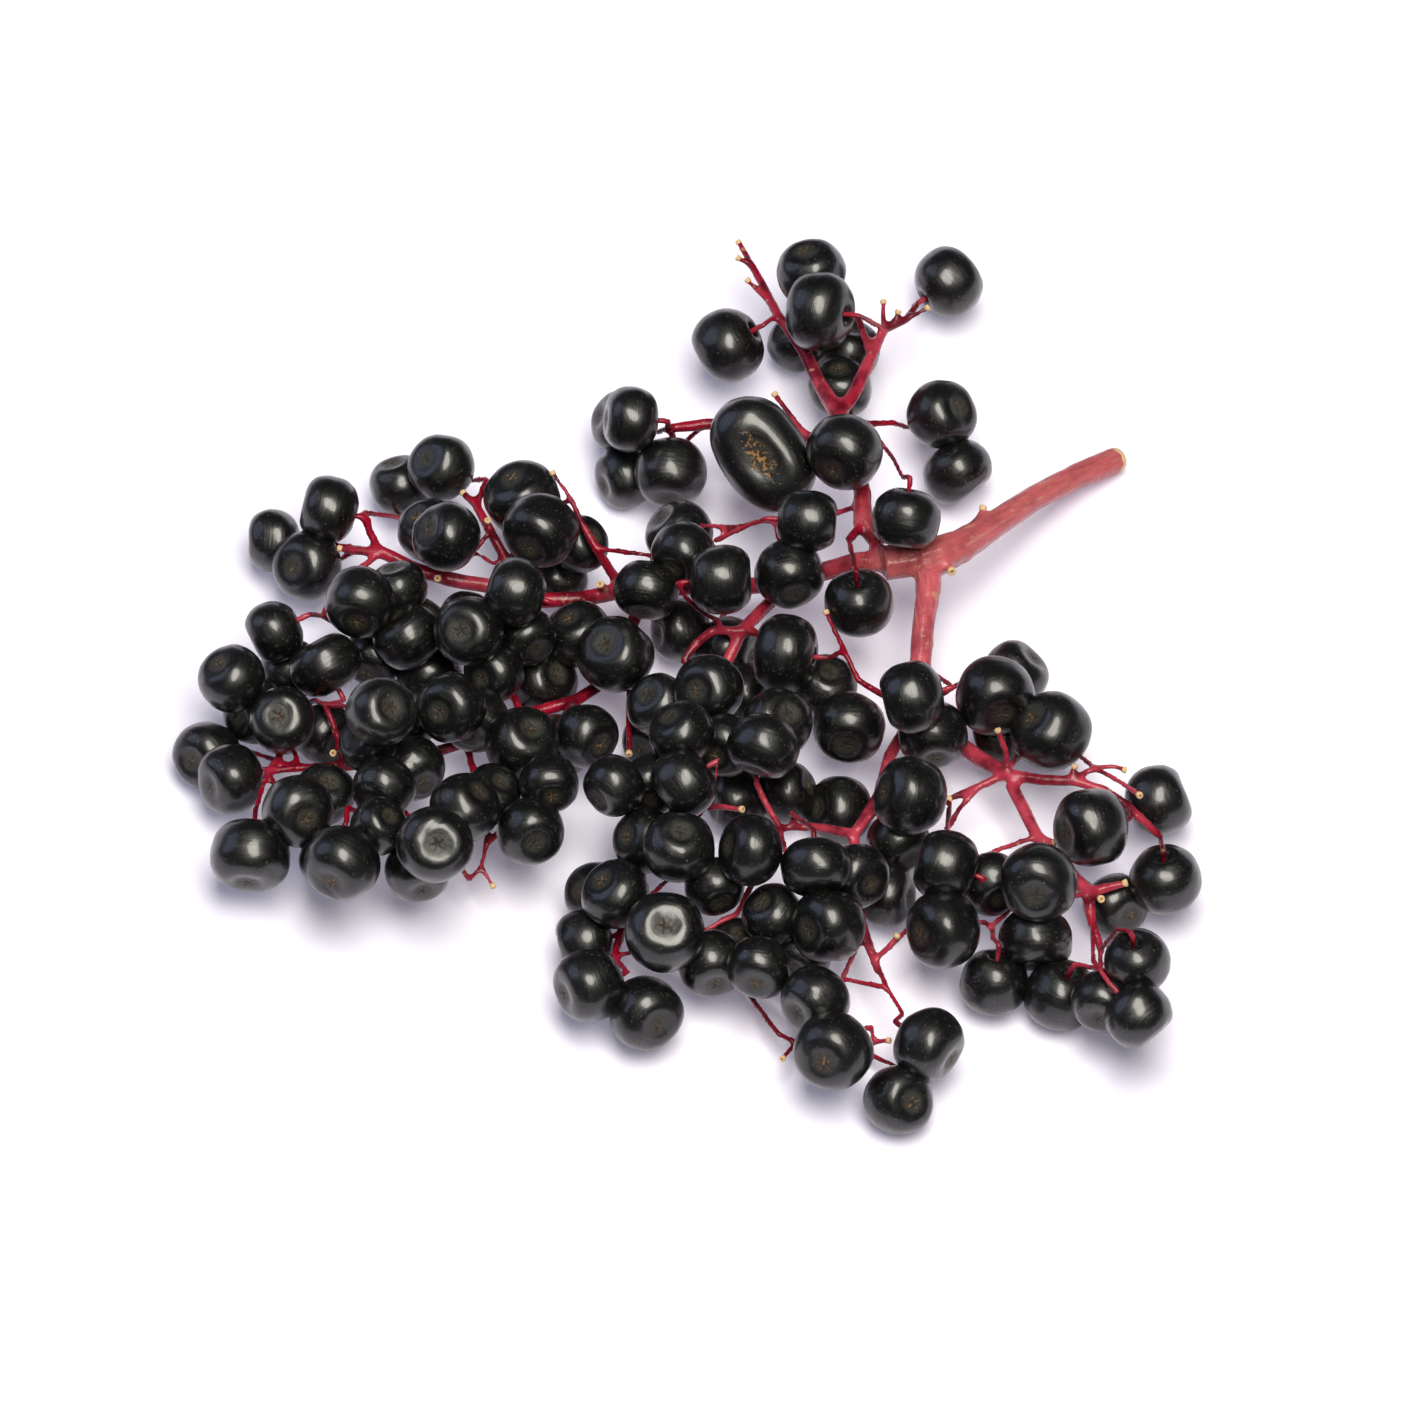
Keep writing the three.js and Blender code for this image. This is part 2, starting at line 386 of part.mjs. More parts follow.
    [[20.4, -0.6, 5.0, 0.85], [18.0, -4.4, 6.4, 0.8], [16.8, -8.6, 5.6, 0.75], [14.4, -12.4, 7.0, 0.75],
      [14.4, -17.4, 6.2, 0.65], [15.2, -21.4, 5.8, 0.6], [16.3, -24.8, 5.8, 0.55], [16.7, -26.2, 5.6, 0.42]],
    [[14.4, -12.4, 7.0, 0.7], [10.4, -11.6, 9.4, 0.55], [7.0, -11.8, 9.8, 0.5], [5.6, -9.4, 10.4, 0.45],
      [4.6, -7.2, 11.0, 0.4]],
    [[8.6, -11.7, 9.7, 0.45], [8.0, -10.2, 10.8, 0.42]],
    [[14.4, -12.4, 7.0, 0.6], [16.2, -10.4, 8.6, 0.42]],
    [[7.0, -11.8, 9.8, 0.5], [4.6, -16.6, 7.0, 0.45], [2.6, -20.4, 6.8, 0.42]],
    [[16.3, -24.8, 5.8, 0.5], [17.8, -23.6, 7.2, 0.42], [18.6, -22.4, 8.0, 0.38]],
    [[16.0, -24.2, 5.8, 0.5], [15.4, -23.2, 7.2, 0.42]],
    [[16.3, -24.8, 5.8, 0.45], [17.6, -27.6, 6.0, 0.38], [19.2, -30.2, 6.0, 0.36]],
    [[15.0, -22.6, 5.8, 0.45], [12.8, -27.6, 3.0, 0.42], [13.8, -31.4, 2.0, 0.42], [16.2, -34.4, 2.0, 0.4],
      [18.8, -35.5, 2.6, 0.36]],
    [[13.8, -31.4, 2.0, 0.4], [10.6, -32.6, 1.8, 0.4], [8.6, -33.0, 3.0, 0.42], [6.8, -32.2, 4.2, 0.36]],
    [[8.6, -33.0, 3.0, 0.4], [7.2, -34.6, 3.8, 0.36]],
    [[15.8, -34.0, 2.1, 0.4], [16.2, -32.8, 3.8, 0.38], [16.1, -31.4, 5.0, 0.36]],
    [[16.2, -33.0, 3.6, 0.38], [17.8, -32.8, 4.4, 0.36]],
  ],
};

// ---------------------------------------------------------------- places on the head's face
const ACROSS = new THREE.Vector3(1, 0, 0);
const UP = new THREE.Vector3(0, LEAN.out, LEAN.up);
const OUT = new THREE.Vector3(0, -LEAN.up, LEAN.out);

// The point at that height above the table which shows at (across, up) on the face.
function onFace(across, up, height) {
  return new THREE.Vector3(across, (up - LEAN.up * height) / LEAN.out, height);
}

function facing(across, up, out) {
  const direction = new THREE.Vector3();
  direction.addScaledVector(ACROSS, across).addScaledVector(UP, up).addScaledVector(OUT, out);
  return direction.normalize();
}

// ---------------------------------------------------------------- where the berries lie
// Gives a listed berry its centre and its own three directions: the axis from stalk to crown,
// the long way and the wide way.
function placeBerry(listed, group, earlier) {
  const { across, up, layer, radius, flat, stretch } = listed;
  const crownHeight = flat * BERRY_SECTION.at(-1)[1];
  const acrossShare = (listed.crownAcross - across) / (radius * crownHeight);
  const upShare = (listed.crownUp - up) / (radius * crownHeight);
  const outShare = Math.sqrt(Math.max(0, 1 - acrossShare ** 2 - upShare ** 2));
  const axis = facing(acrossShare, upShare, listed.far ? -outShare : outShare);
  const onPlane = (one) => Math.hypot(one.listed.across - across, one.listed.up - up);
  const partner = earlier.toSorted((a, b) => onPlane(a) - onPlane(b))[0];
  let centre = onFace(across, up, TABLE_BERRY + layer * LAYER);
  if (partner) {
    const touch = PRESSED * (radius + partner.radius);
    const depth = Math.sqrt(Math.max(0, touch ** 2 - onPlane(partner) ** 2));
    const out = partner.centre.dot(OUT) + (layer === BEFORE ? depth : -depth);
    centre = new THREE.Vector3().addScaledVector(ACROSS, across).addScaledVector(UP, up);
    centre.addScaledVector(OUT, out);
  }
  return { group, radius, flat, stretch, axis, partner, centre, start: centre.clone(), listed };
}

// Turns a berry about its axis: its long way, or for a round one the edge between two of its
// faces, points where it is wanted.
function turnBerry(one, towards) {
  one.long = towards.clone().addScaledVector(one.axis, -towards.dot(one.axis)).normalize();
  one.wide = new THREE.Vector3().crossVectors(one.axis, one.long);
}

// How far a berry reaches from its centre in a direction.
function reach(one, direction) {
  const { radius, flat, stretch } = one;
  const along = flat * direction.dot(one.axis);
  const lengthways = stretch * direction.dot(one.long);
  const sideways = direction.dot(one.wide);
  return radius * Math.hypot(along, lengthways, sideways);
}

// The point on a berry's axis that lies beyond the mouth of its stalk pit.
function pitMouth(one, beyond) {
  return one.centre.clone().addScaledVector(one.axis, PIT_RIM[1] * one.flat * one.radius - beyond);
}

// How far below its centre a berry needs to be free: for itself, and for the end of its stalk if
// that comes up from below.
function roomBelow(one) {
  return Math.max(reach(one, DOWN), one.centre.z - pitMouth(one, APPROACH).z + STALK_RADIUS);
}

const SETTLING_ROUNDS = 500;
const FREE_AFTER = 0.6;       // share of the rounds after which nothing is pulled back any more
const FACE_GIVE = 0.05;       // share of an overlap that is cleared by a shift on the face
const OUT_GIVE = 0.3;         // share that is cleared by a shift in or out of the face
const FACE_PULL = 0.06;       // share of the way back to the listed place on the face, each round
const OUT_PULL = 0.01;        // the same, in or out of the face
const FAR_APART = 20;         // berries further apart than this don't touch
const POST_SPACING = 1.2;     // most distance between the points that stand for a stem
const LEAST = 0.1;            // keeps a share from being taken of almost nothing
const DOWN = new THREE.Vector3(0, 0, -1);

// The shift that brings two bodies, separation apart, to the wanted distance: mostly in or out of
// the face, so that what shows on the face stays where it is listed.
function parting(separation, wanted) {
  const out = separation.dot(OUT);
  const onPlane = separation.clone().addScaledVector(OUT, -out);
  const plane = onPlane.length();
  const short = wanted - separation.length();
  const outWanted = Math.sqrt(Math.max(0, wanted ** 2 - plane ** 2));
  const shift = OUT.clone().multiplyScalar((out < 0 ? -1 : 1) * (outWanted - Math.abs(out)) * OUT_GIVE);
  return shift.addScaledVector(onPlane, (short * FACE_GIVE) / Math.max(plane, LEAST));
}

function settle(berries, stems) {
  const posts = stems.flatMap((stem) => stem.branches.flatMap(alongBranch));
  for (let round = 0; round < SETTLING_ROUNDS; round += 1) {
    const slack = Math.max(0, 1 - round / (FREE_AFTER * SETTLING_ROUNDS));
    for (const [index, one] of berries.entries()) {
      for (const other of berries.slice(index + 1)) {
        const separation = other.centre.clone().sub(one.centre);
        if (separation.length() > FAR_APART) continue;
        const direction = separation.clone().normalize();
        const touch = reach(one, direction) + reach(other, direction);
        const together = one.group === other.group;
        const wanted = together ? touch * PRESSED : touch + CLEARANCE;
        const joined = other.partner === one || one.partner === other;
        if (!joined && separation.length() >= wanted) continue;
        const shift = parting(separation, wanted);
        one.centre.addScaledVector(shift, -0.5);
        other.centre.addScaledVector(shift, 0.5);
      }
      for (const post of posts) {
        const separation = one.centre.clone().sub(post.point);
        const wanted = reach(one, separation.clone().normalize()) + post.radius + CLEARANCE;
        if (separation.length() < wanted) one.centre.add(parting(separation, wanted));
      }
      const back = one.start.clone().sub(one.centre);
      const layers = back.dot(OUT);
      one.centre.addScaledVector(back.addScaledVector(OUT, -layers), FACE_PULL * slack);
      one.centre.addScaledVector(OUT, OUT_PULL * slack * layers);
      const sunk = roomBelow(one) - one.centre.z;
      if (sunk > 0) one.centre.addScaledVector(OUT, sunk / LEAN.out);
    }
  }
}

// Points along a branch, close enough together for a berry to be kept clear of all of it.
function alongBranch(branch) {
  const posts = [];
  for (let index = 1; index < branch.length; index += 1) {
    const [from, to] = [branch[index - 1], branch[index]];
    const count = Math.ceil(from.point.distanceTo(to.point) / POST_SPACING);
    for (let step = 0; step <= count; step += 1) {
      const share = step / count;
      const point = from.point.clone().lerp(to.point, share);
      posts.push({ point, radius: THREE.MathUtils.lerp(from.radius, to.radius, share) });
    }
  }
  return posts;
}

// ---------------------------------------------------------------- solids
function toSolid(geometry) {
  const bare = geometry.clone();
  bare.deleteAttribute('normal');
  bare.deleteAttribute('uv');
  const merged = mergeVertices(bare, 1e-4);
  const vertProperties = new Float32Array(merged.attributes.position.array);
  const triVerts = new Uint32Array(merged.index.array);
  return new solids.Manifold(new solids.Mesh({ numProp: 3, vertProperties, triVerts }));
}

function toGeometry(solid) {
  const { vertProperties, triVerts } = solid.getMesh();
  const geometry = new THREE.BufferGeometry();
  geometry.setAttribute('position', new THREE.BufferAttribute(new Float32Array(vertProperties), 3));
  geometry.setIndex(new THREE.BufferAttribute(new Uint32Array(triVerts), 1));
  geometry.computeVertexNormals();
  return geometry;
}

function berryGeometry(one) {
  const section = BERRY_SECTION.map(([distance, along]) => new THREE.Vector2(distance, along));
  const geometry = new THREE.LatheGeometry(section, BERRY_SIDES);
  geometry.scale(one.radius, one.radius * one.flat, one.radius * one.stretch);
  geometry.applyMatrix4(new THREE.Matrix4().makeBasis(one.wide, one.axis, one.long));
  geometry.translate(...one.centre);
  return geometry;
}

// Lowers the berries that settled on the table until their lowest corners touch it.
function restOnTable(berries) {
  for (const one of berries) {
    const geometry = berryGeometry(one);
    geometry.computeBoundingBox();
    const lowest = geometry.boundingBox.min.z;
    const stalkRoom = pitMouth(one, APPROACH).z - STALK_RADIUS;
    if (lowest < RESTING) one.centre.z -= Math.min(lowest, stalkRoom);
  }
}

// A tapered round stem: a cylinder bent along a smooth line through the branch's points.
function stemGeometry(branch, sides, steps) {
  const line = new THREE.CatmullRomCurve3(branch.map(({ point }) => point), false, 'centripetal');
  const rings = [];
  let across = OUT.clone();
  for (let step = 0; step <= steps; step += 1) {
    const share = step / steps;
    const tangent = line.getTangent(share);
    across = across.clone().addScaledVector(tangent, -across.dot(tangent)).normalize();
    const side = new THREE.Vector3().crossVectors(across, tangent);
    const place = share * (branch.length - 1);
    const before = branch[Math.floor(place)];
    const after = branch[Math.ceil(place)];
    const radius = THREE.MathUtils.lerp(before.radius, after.radius, place - Math.floor(place));
    rings.push({ point: line.getPoint(share), across, side, radius });
  }
  const geometry = new THREE.CylinderGeometry(1, 1, 1, sides, steps);
  const position = geometry.attributes.position;
  for (let index = 0; index < position.count; index += 1) {
    const ring = rings[Math.round((position.getY(index) + 0.5) * steps)];
    const moved = ring.point.clone();
    moved.addScaledVector(ring.across, ring.radius * position.getX(index));
    moved.addScaledVector(ring.side, ring.radius * position.getZ(index));
    position.setXYZ(index, ...moved);
  }
  return geometry;
}

// ---------------------------------------------------------------- the thin stalk of each berry
const FREE_POINTS = 2;          // points between the fork and that straight length
const ROUTING_ROUNDS = 80;
const STRAIGHTENING = 0.15;     // share of the way to the middle of its neighbours, each round
const STRAIGHT_IN = 5;          // most length over which a stalk turns towards the pit
const NEARBY = 8;               // a berry this much past the stalk's span can't be in its way
const FORKS_TRIED = 16;
const LONGEST_STALK = 17;
const MOST_BLOCKED = 0.25;      // deeper than this into a berry and the route is given up
const MOST_BEFORE = 4.5;        // longer than this before the faces of berries, and so is this one
const FACE_SHARE = 0.85;        // share of a berry's radius that counts as its face

// Pushes a point out of every berry that it is too close to, and says how deep it was in.
function clearOfBerries(point, near, radius) {
  let depth = 0;
  for (const one of near) {
    const separation = point.clone().sub(one.centre);
    const wanted = reach(one, separation.clone().normalize()) + radius + CLEARANCE / 2;
    const inside = wanted - separation.length();
    if (inside <= 0) continue;
    depth = Math.max(depth, inside);
    point.addScaledVector(separation.normalize(), inside);
  }
  point.z = Math.max(point.z, radius + CLEARANCE);
  return depth;
}

// A route from a fork to a berry's pit that bends round the other berries.
function routeStalk(fork, one, berries) {
  const end = pitMouth(one, CLEARANCE);
  const approach = pitMouth(one, APPROACH);
  const span = end.distanceTo(fork.point);
  const handle = pitMouth(one, Math.min(span / 2, STRAIGHT_IN));
  const curve = new THREE.QuadraticBezierCurve3(fork.point, handle, approach);
  const points = curve.getPoints(FREE_POINTS + 1).slice(0, -1).concat([approach, end]);
  const near = berries.filter(({ centre }) => centre.distanceTo(end) < span + NEARBY);
  const others = near.filter((other) => other !== one);
  let depth = 0;
  for (let round = 0; round < ROUTING_ROUNDS; round += 1) {
    depth = 0;
    for (let index = 1; index <= FREE_POINTS; index += 1) {
      const middle = points[index - 1].clone().lerp(points[index + 1], 0.5);
      points[index].lerp(middle, STRAIGHTENING);
      depth = Math.max(depth, clearOfBerries(points[index], near, STALK_RADIUS));
    }
    for (let index = 0; index < points.length - 2; index += 1) {
      const middle = points[index].clone().lerp(points[index + 1], 0.5);
      const pushed = middle.clone();
      depth = Math.max(depth, clearOfBerries(pushed, near, STALK_RADIUS));
      pushed.sub(middle);
      if (index > 0) points[index].add(pushed);
      if (index + 1 <= FREE_POINTS) points[index + 1].add(pushed);
    }
  }
  const blocked = Math.max(depth, clearOfBerries(end.clone(), others, STALK_RADIUS));
  const length = points.slice(1).reduce((sum, point, index) => sum + point.distanceTo(points[index]), 0);
  return { points, blocked, length, before: lengthBefore(points, others) };
}

// The length of a route that runs before the faces of berries, where it would hide them.
function lengthBefore(points, berries) {
  return points.slice(1).reduce((sum, point, index) => {
    const middle = point.clone().lerp(points[index], 0.5);
    const hides = berries.some((one) => {
      const separation = middle.clone().sub(one.centre);
      const out = separation.dot(OUT);
      const onPlane = separation.addScaledVector(OUT, -out).length();
      return out > 0 && onPlane < FACE_SHARE * one.radius;
    });
    return hides ? sum + point.distanceTo(points[index]) : sum;
  }, 0);
}

// Every point of every ray and twig is a fork that a berry's stalk may start from.
function listForks(stems) {
  return stems.slice(1).flatMap((stem) => stem.branches.flatMap((branch) => branch.slice(1).map(
    ({ point, radius }) => ({ stem, point, radius, taken: 0 }),
  )));
}

// What counts against a fork or a route, in millimetres of stalk.
const THICK = 0.8;              // stalks seldom spring from stems thicker than this
const THICK_COST = 4;
const TAKEN_COST = 1.6;         // for each stalk that the fork has already
const BLOCKED_COST = 40;        // for each millimetre that the route runs into a berry
const BEFORE_COST = 5;          // for each millimetre that it runs before the faces of berries

function growStalks(berries, stems) {
  const forks = listForks(stems);
  const cost = ({ point, radius, taken }, mouth) => (
    point.distanceTo(mouth) + TAKEN_COST * taken + (radius > THICK ? THICK_COST : 0));
  for (const one of berries) {
    const mouth = pitMouth(one, APPROACH);
    const nearest = forks.toSorted((a, b) => cost(a, mouth) - cost(b, mouth)).slice(0, FORKS_TRIED);
    const routes = nearest.map((fork) => ({ fork, ...routeStalk(fork, one, berries) }));
    const worth = ({ length, blocked, before, fork }) => (
      length + BLOCKED_COST * blocked + BEFORE_COST * before + TAKEN_COST * fork.taken);
    routes.sort((a, b) => worth(a) - worth(b));
    const best = routes[0];
    if (best.blocked > MOST_BLOCKED || best.length > LONGEST_STALK || best.before > MOST_BEFORE) continue;
    best.fork.taken += 1;
    best.fork.stem.stalks.push(best.points.map((point) => ({ point, radius: STALK_RADIUS })));
  }
}

// ---------------------------------------------------------------- putting it together
const THICK_STEM = 1.2;
const THIN_STEM = 0.56;
const SIDES = { thick: 7, middling: 5, thin: 4 };

function sidesFor(branch) {
  const widest = Math.max(...branch.map(({ radius }) => radius));
  if (widest > THICK_STEM) return SIDES.thick;
  return widest > THIN_STEM ? SIDES.middling : SIDES.thin;
}

function growBranch(branch, extra = 0) {
  const wider = branch.map(({ point, radius }) => ({ point, radius: radius + extra }));
  return toSolid(stemGeometry(wider, sidesFor(branch), branch.length - 1));
}

function boxesMeet(a, b) {
  const [first, second] = [a.boundingBox(), b.boundingBox()];
  const meet = (side) => first.min[side] <= second.max[side] && second.min[side] <= first.max[side];
  return [0, 1, 2].every(meet);
}

// Cuts away what lies in any of the cutters, and keeps the piece that is left in one.
function trim(solid, cutters) {
  let kept = solid;
  for (const cutter of cutters) {
    if (boxesMeet(kept, cutter)) kept = kept.subtract(cutter);
  }
  const pieces = kept.decompose();
  return pieces.toSorted((a, b) => b.volume() - a.volume())[0];
}

function named(name, geometry, material) {
  const mesh = new THREE.Mesh(geometry, material);
  mesh.name = name;
  return mesh;
}

const stems = Object.entries(STEMS).map(([name, branches]) => ({
  name,
  stalks: [],
  branches: branches.map((branch) => branch.map(
    ([across, up, height, radius]) => ({ point: onFace(across, up, height), radius }))),
}));
const berries = [];
for (const [group, list] of Object.entries(BERRIES)) {
  for (const listed of list) {
    const one = placeBerry(listed, group, berries.filter((other) => other.group === group));
    const lean = THREE.MathUtils.degToRad(listed.lean);
    turnBerry(one, facing(Math.cos(lean), Math.sin(lean), 0));
    berries.push(one);
  }
}
settle(berries, stems);
for (const one of berries) {
  const other = one.partner ?? berries.find(({ partner }) => partner === one);
  if (other) turnBerry(one, other.centre.clone().sub(one.centre));
}
restOnTable(berries);
growStalks(berries, stems);

const cluster = new THREE.Group();
const berrySolids = new Map();
for (const name of Object.keys(BERRIES)) {
  const group = berries.filter((one) => one.group === name);
  const joined = group.map((one) => toSolid(berryGeometry(one))).reduce((sum, one) => sum.add(one));
  berrySolids.set(name, joined);
  cluster.add(named(name, toGeometry(joined), BERRY_BLACK));
}

const berryRooms = berries.map((one) => {
  const room = { ...one, radius: one.radius + CLEARANCE / 2 };
  return toSolid(berryGeometry(room));
});
const stemRooms = [];
for (const stem of stems) {
  const grown = [...stem.branches, ...stem.stalks].map((branch) => growBranch(branch));
  const whole = grown.reduce((sum, branch) => sum.add(branch));
  const kept = trim(whole, [...stemRooms, ...berryRooms]);
  cluster.add(named(stem.name, toGeometry(kept), stem.name === 'stalk' ? STALK_RED : RAY_RED));
  const rooms = [...stem.branches, ...stem.stalks].map((branch) => growBranch(branch, JOINT_GAP));
  stemRooms.push(rooms.reduce((sum, branch) => sum.add(branch)));
}

// The origin is under the middle of the cluster, on the table.
const box = new THREE.Box3().setFromObject(cluster);
const middle = box.getCenter(new THREE.Vector3());
for (const { geometry } of cluster.children) geometry.translate(-middle.x, -middle.y, -box.min.z);

export default cluster;
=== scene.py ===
# %% [markdown]
# # A cluster of ripe elderberries, lying on a table
#
# This lesson dresses the solid model of one picked head of elder. The solids say where every berry
# and every stem is. Here the plain eight-sided berries become round ones with a crown and a scar,
# and the straight-sided stems become grown wood with cut ends, and each gets a finish of its own.

import math
import random
from itertools import combinations

import bmesh
import bpy
import numpy as np
from mathutils import Matrix, Vector, noise
from mathutils.bvhtree import BVHTree
from mathutils.kdtree import KDTree


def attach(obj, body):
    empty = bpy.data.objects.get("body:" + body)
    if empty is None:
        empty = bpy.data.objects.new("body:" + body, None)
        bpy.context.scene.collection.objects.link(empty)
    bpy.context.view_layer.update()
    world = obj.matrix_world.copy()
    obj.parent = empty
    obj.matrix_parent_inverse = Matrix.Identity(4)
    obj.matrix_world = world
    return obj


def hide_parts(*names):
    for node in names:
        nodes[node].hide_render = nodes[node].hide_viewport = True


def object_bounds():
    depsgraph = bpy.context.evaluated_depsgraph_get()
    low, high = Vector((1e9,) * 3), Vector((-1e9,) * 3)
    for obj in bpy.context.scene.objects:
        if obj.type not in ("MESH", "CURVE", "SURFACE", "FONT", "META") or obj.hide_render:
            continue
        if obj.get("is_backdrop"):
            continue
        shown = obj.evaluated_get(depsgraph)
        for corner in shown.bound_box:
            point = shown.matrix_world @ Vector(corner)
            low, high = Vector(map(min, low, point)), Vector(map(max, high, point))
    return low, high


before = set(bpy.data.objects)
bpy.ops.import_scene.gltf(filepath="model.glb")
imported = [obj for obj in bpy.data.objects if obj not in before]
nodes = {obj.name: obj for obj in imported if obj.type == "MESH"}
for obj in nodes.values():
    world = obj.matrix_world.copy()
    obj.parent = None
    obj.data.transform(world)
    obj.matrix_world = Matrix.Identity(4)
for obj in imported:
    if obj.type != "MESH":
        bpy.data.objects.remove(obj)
cad_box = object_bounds()
MM = 0.001
berry_nodes = sorted(name for name in nodes if name.startswith("berr"))
stem_nodes = sorted(set(nodes) - set(berry_nodes))
print(len(berry_nodes), "nodes of berries and", len(stem_nodes), "nodes of stems")

# %% [markdown]
# The camera looks down at the cluster from its front, at the angle whose sine is 0.8. It stands far
# off with a long lens, so that berries near the edge of the view are seen from the same side as
# those in its middle. A short lens close by would show more of the edge berries' sides.

# %% Camera
VIEW_SINE = 0.8
VIEW_COSINE = 0.6
VIEW_WIDTH = 142 * MM
VIEW_DISTANCE = 3.0
VIEW_MIDDLE = Vector((2.386 * MM, 0.48 * MM, 0))
SENSOR_WIDTH = 36
MEAN_DEPTH = 8 * MM
CLIP_NEAR, CLIP_FAR = 0.1, 20

camera_data = bpy.data.cameras.new("camera")
camera_data.sensor_width = SENSOR_WIDTH
camera_data.lens = SENSOR_WIDTH * (VIEW_DISTANCE - MEAN_DEPTH) / VIEW_WIDTH
camera_data.clip_start = CLIP_NEAR
camera_data.clip_end = CLIP_FAR
camera = bpy.data.objects.new("camera", camera_data)
towards_camera = Vector((0, -VIEW_COSINE, VIEW_SINE))
camera.location = VIEW_MIDDLE + towards_camera * VIEW_DISTANCE
camera.rotation_euler = towards_camera.to_track_quat("Z", "Y").to_euler()
bpy.context.scene.collection.objects.link(camera)
bpy.context.scene.camera = camera
print("lens", round(camera_data.lens), "mm")

# %% [markdown]
# Black berries show little but what they mirror, so the lights are chosen for their reflections. A
# lamp nearly overhead puts one satin highlight a little above the middle of each berry. A large dim
# bluish lamp on the left draws a soft cool patch on their shoulders. The world stays dim, so that
# the gaps between berries go dark.

# %% Lights
KEY_PLACE = (0.1, -0.3, 1.05)
KEY_SIZE = (0.56, 0.9)
KEY_POWER = 16
KEY_COLOR = (1.0, 0.965, 0.87)
FILL_PLACE = (-1.25, 0.35, 0.95)
FILL_SIZE = (1.3, 1.3)
FILL_POWER = 5
FILL_COLOR = (0.62, 0.7, 1.0)
WORLD_COLOR = (0.78, 0.86, 1.0, 1)
WORLD_STRENGTH = 0.03

world = bpy.data.worlds.new("studio")
world.use_nodes = True
background = world.node_tree.nodes["Background"]
background.inputs["Color"].default_value = WORLD_COLOR
background.inputs["Strength"].default_value = WORLD_STRENGTH
bpy.context.scene.world = world
bpy.context.scene.view_settings.view_transform = "Standard"


def add_lamp(name, place, size, power, color):
    """An oval lamp that faces the middle of the floor, with its width and length."""
    data = bpy.data.lights.new(name, "AREA")
    data.shape = "ELLIPSE"
    data.size, data.size_y = size
    data.energy = power
    data.color = color
    made = bpy.data.objects.new(name, data)
    made.location = place
    made.rotation_euler = Vector(place).to_track_quat("Z", "Y").to_euler()
    bpy.context.scene.collection.objects.link(made)


add_lamp("key", KEY_PLACE, KEY_SIZE, KEY_POWER, KEY_COLOR)
add_lamp("fill", FILL_PLACE, FILL_SIZE, FILL_POWER, FILL_COLOR)
print("key", KEY_POWER, "W, fill", FILL_POWER, "W")

# %% [markdown]
# The cluster lies on a pale floor, which glows a little like a light table. The berries mirror it
# as a violet-grey rim along their lower sides, which a white floor without glow would leave dull.

# %% Floor
FLOOR_COLOR = (0.86, 0.84, 0.95, 1)
FLOOR_GLOW_COLOR = (0.85, 0.8, 1.0, 1)
FLOOR_GLOW = 0.2
FLOOR_ROUGHNESS = 0.9
FLOOR_SIZE = 8

floor_mesh = bpy.data.meshes.new("floor")
bm = bmesh.new()
bmesh.ops.create_grid(bm, x_segments=1, y_segments=1, size=FLOOR_SIZE / 2)
bm.to_mesh(floor_mesh)
bm.free()
floor = bpy.data.objects.new("floor", floor_mesh)
bpy.context.scene.collection.objects.link(floor)
floor_material = bpy.data.materials.new("pale_floor")
floor_material.use_nodes = True
floor_shader = floor_material.node_tree.nodes["Principled BSDF"]
floor_shader.inputs["Base Color"].default_value = FLOOR_COLOR
floor_shader.inputs["Roughness"].default_value = FLOOR_ROUGHNESS
floor_shader.inputs["Emission Color"].default_value = FLOOR_GLOW_COLOR
floor_shader.inputs["Emission Strength"].default_value = FLOOR_GLOW
floor_mesh.materials.append(floor_material)
floor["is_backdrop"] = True
print("the floor glows at", FLOOR_GLOW)

# %% [markdown]
# Every berry of the solid model has a flat eight-sided crown and, on the other end of its axis, a
# small pit for its stalk. Both can be found again in the mesh. A crown is a patch of faces in one
# plane whose corners all lie equally far from its middle, and a pit is a corner where eight faces
# meet, with its eight neighbours on a ring.

# %% Flat patches of a solid
SAME_PLACE = 1e-6
SAME_LENGTH = 4e-6
ONE_PLANE = 0.99999


def merged_copy(name):
    """The node's mesh with its loose triangles joined at their corners."""
    bm = bmesh.new()
    bm.from_mesh(nodes[name].data)
    bmesh.ops.remove_doubles(bm, verts=bm.verts, dist=SAME_PLACE)
    bm.normal_update()
    return bm


def flat_patches(bm):
    """Groups of joined faces that lie in one plane."""
    seen = set()
    for first in bm.faces:
        if first in seen:
            continue
        patch = [first]
        seen.add(first)
        for face in patch:
            for other in (o for e in face.edges for o in e.link_faces):
                if other not in seen and other.normal.dot(first.normal) > ONE_PLANE:
                    seen.add(other)
                    patch.append(other)
        yield patch


def regular_patches(bm, sides):
    """(middle, normal, radius) of each flat patch that is a regular polygon with that many sides."""
    for patch in flat_patches(bm):
        inside = set(patch)
        rim = [e for f in patch for e in f.edges if sum(o in inside for o in e.link_faces) == 1]
        corners = np.array([v.co for v in {v for e in rim for v in e.verts}])
        lengths = [e.calc_length() for e in rim]
        if len(corners) not in sides or max(lengths) - min(lengths) > SAME_LENGTH:
            continue
        middle = corners.mean(0)
        radii = np.linalg.norm(corners - middle, axis=1)
        if radii.max() - radii.min() < SAME_LENGTH:
            yield Vector(middle), patch[0].normal.copy(), float(radii.mean())


twin_bm = merged_copy("berry_twin")
print("the twin berry has", len(list(flat_patches(twin_bm))), "flat patches")
twin_bm.free()

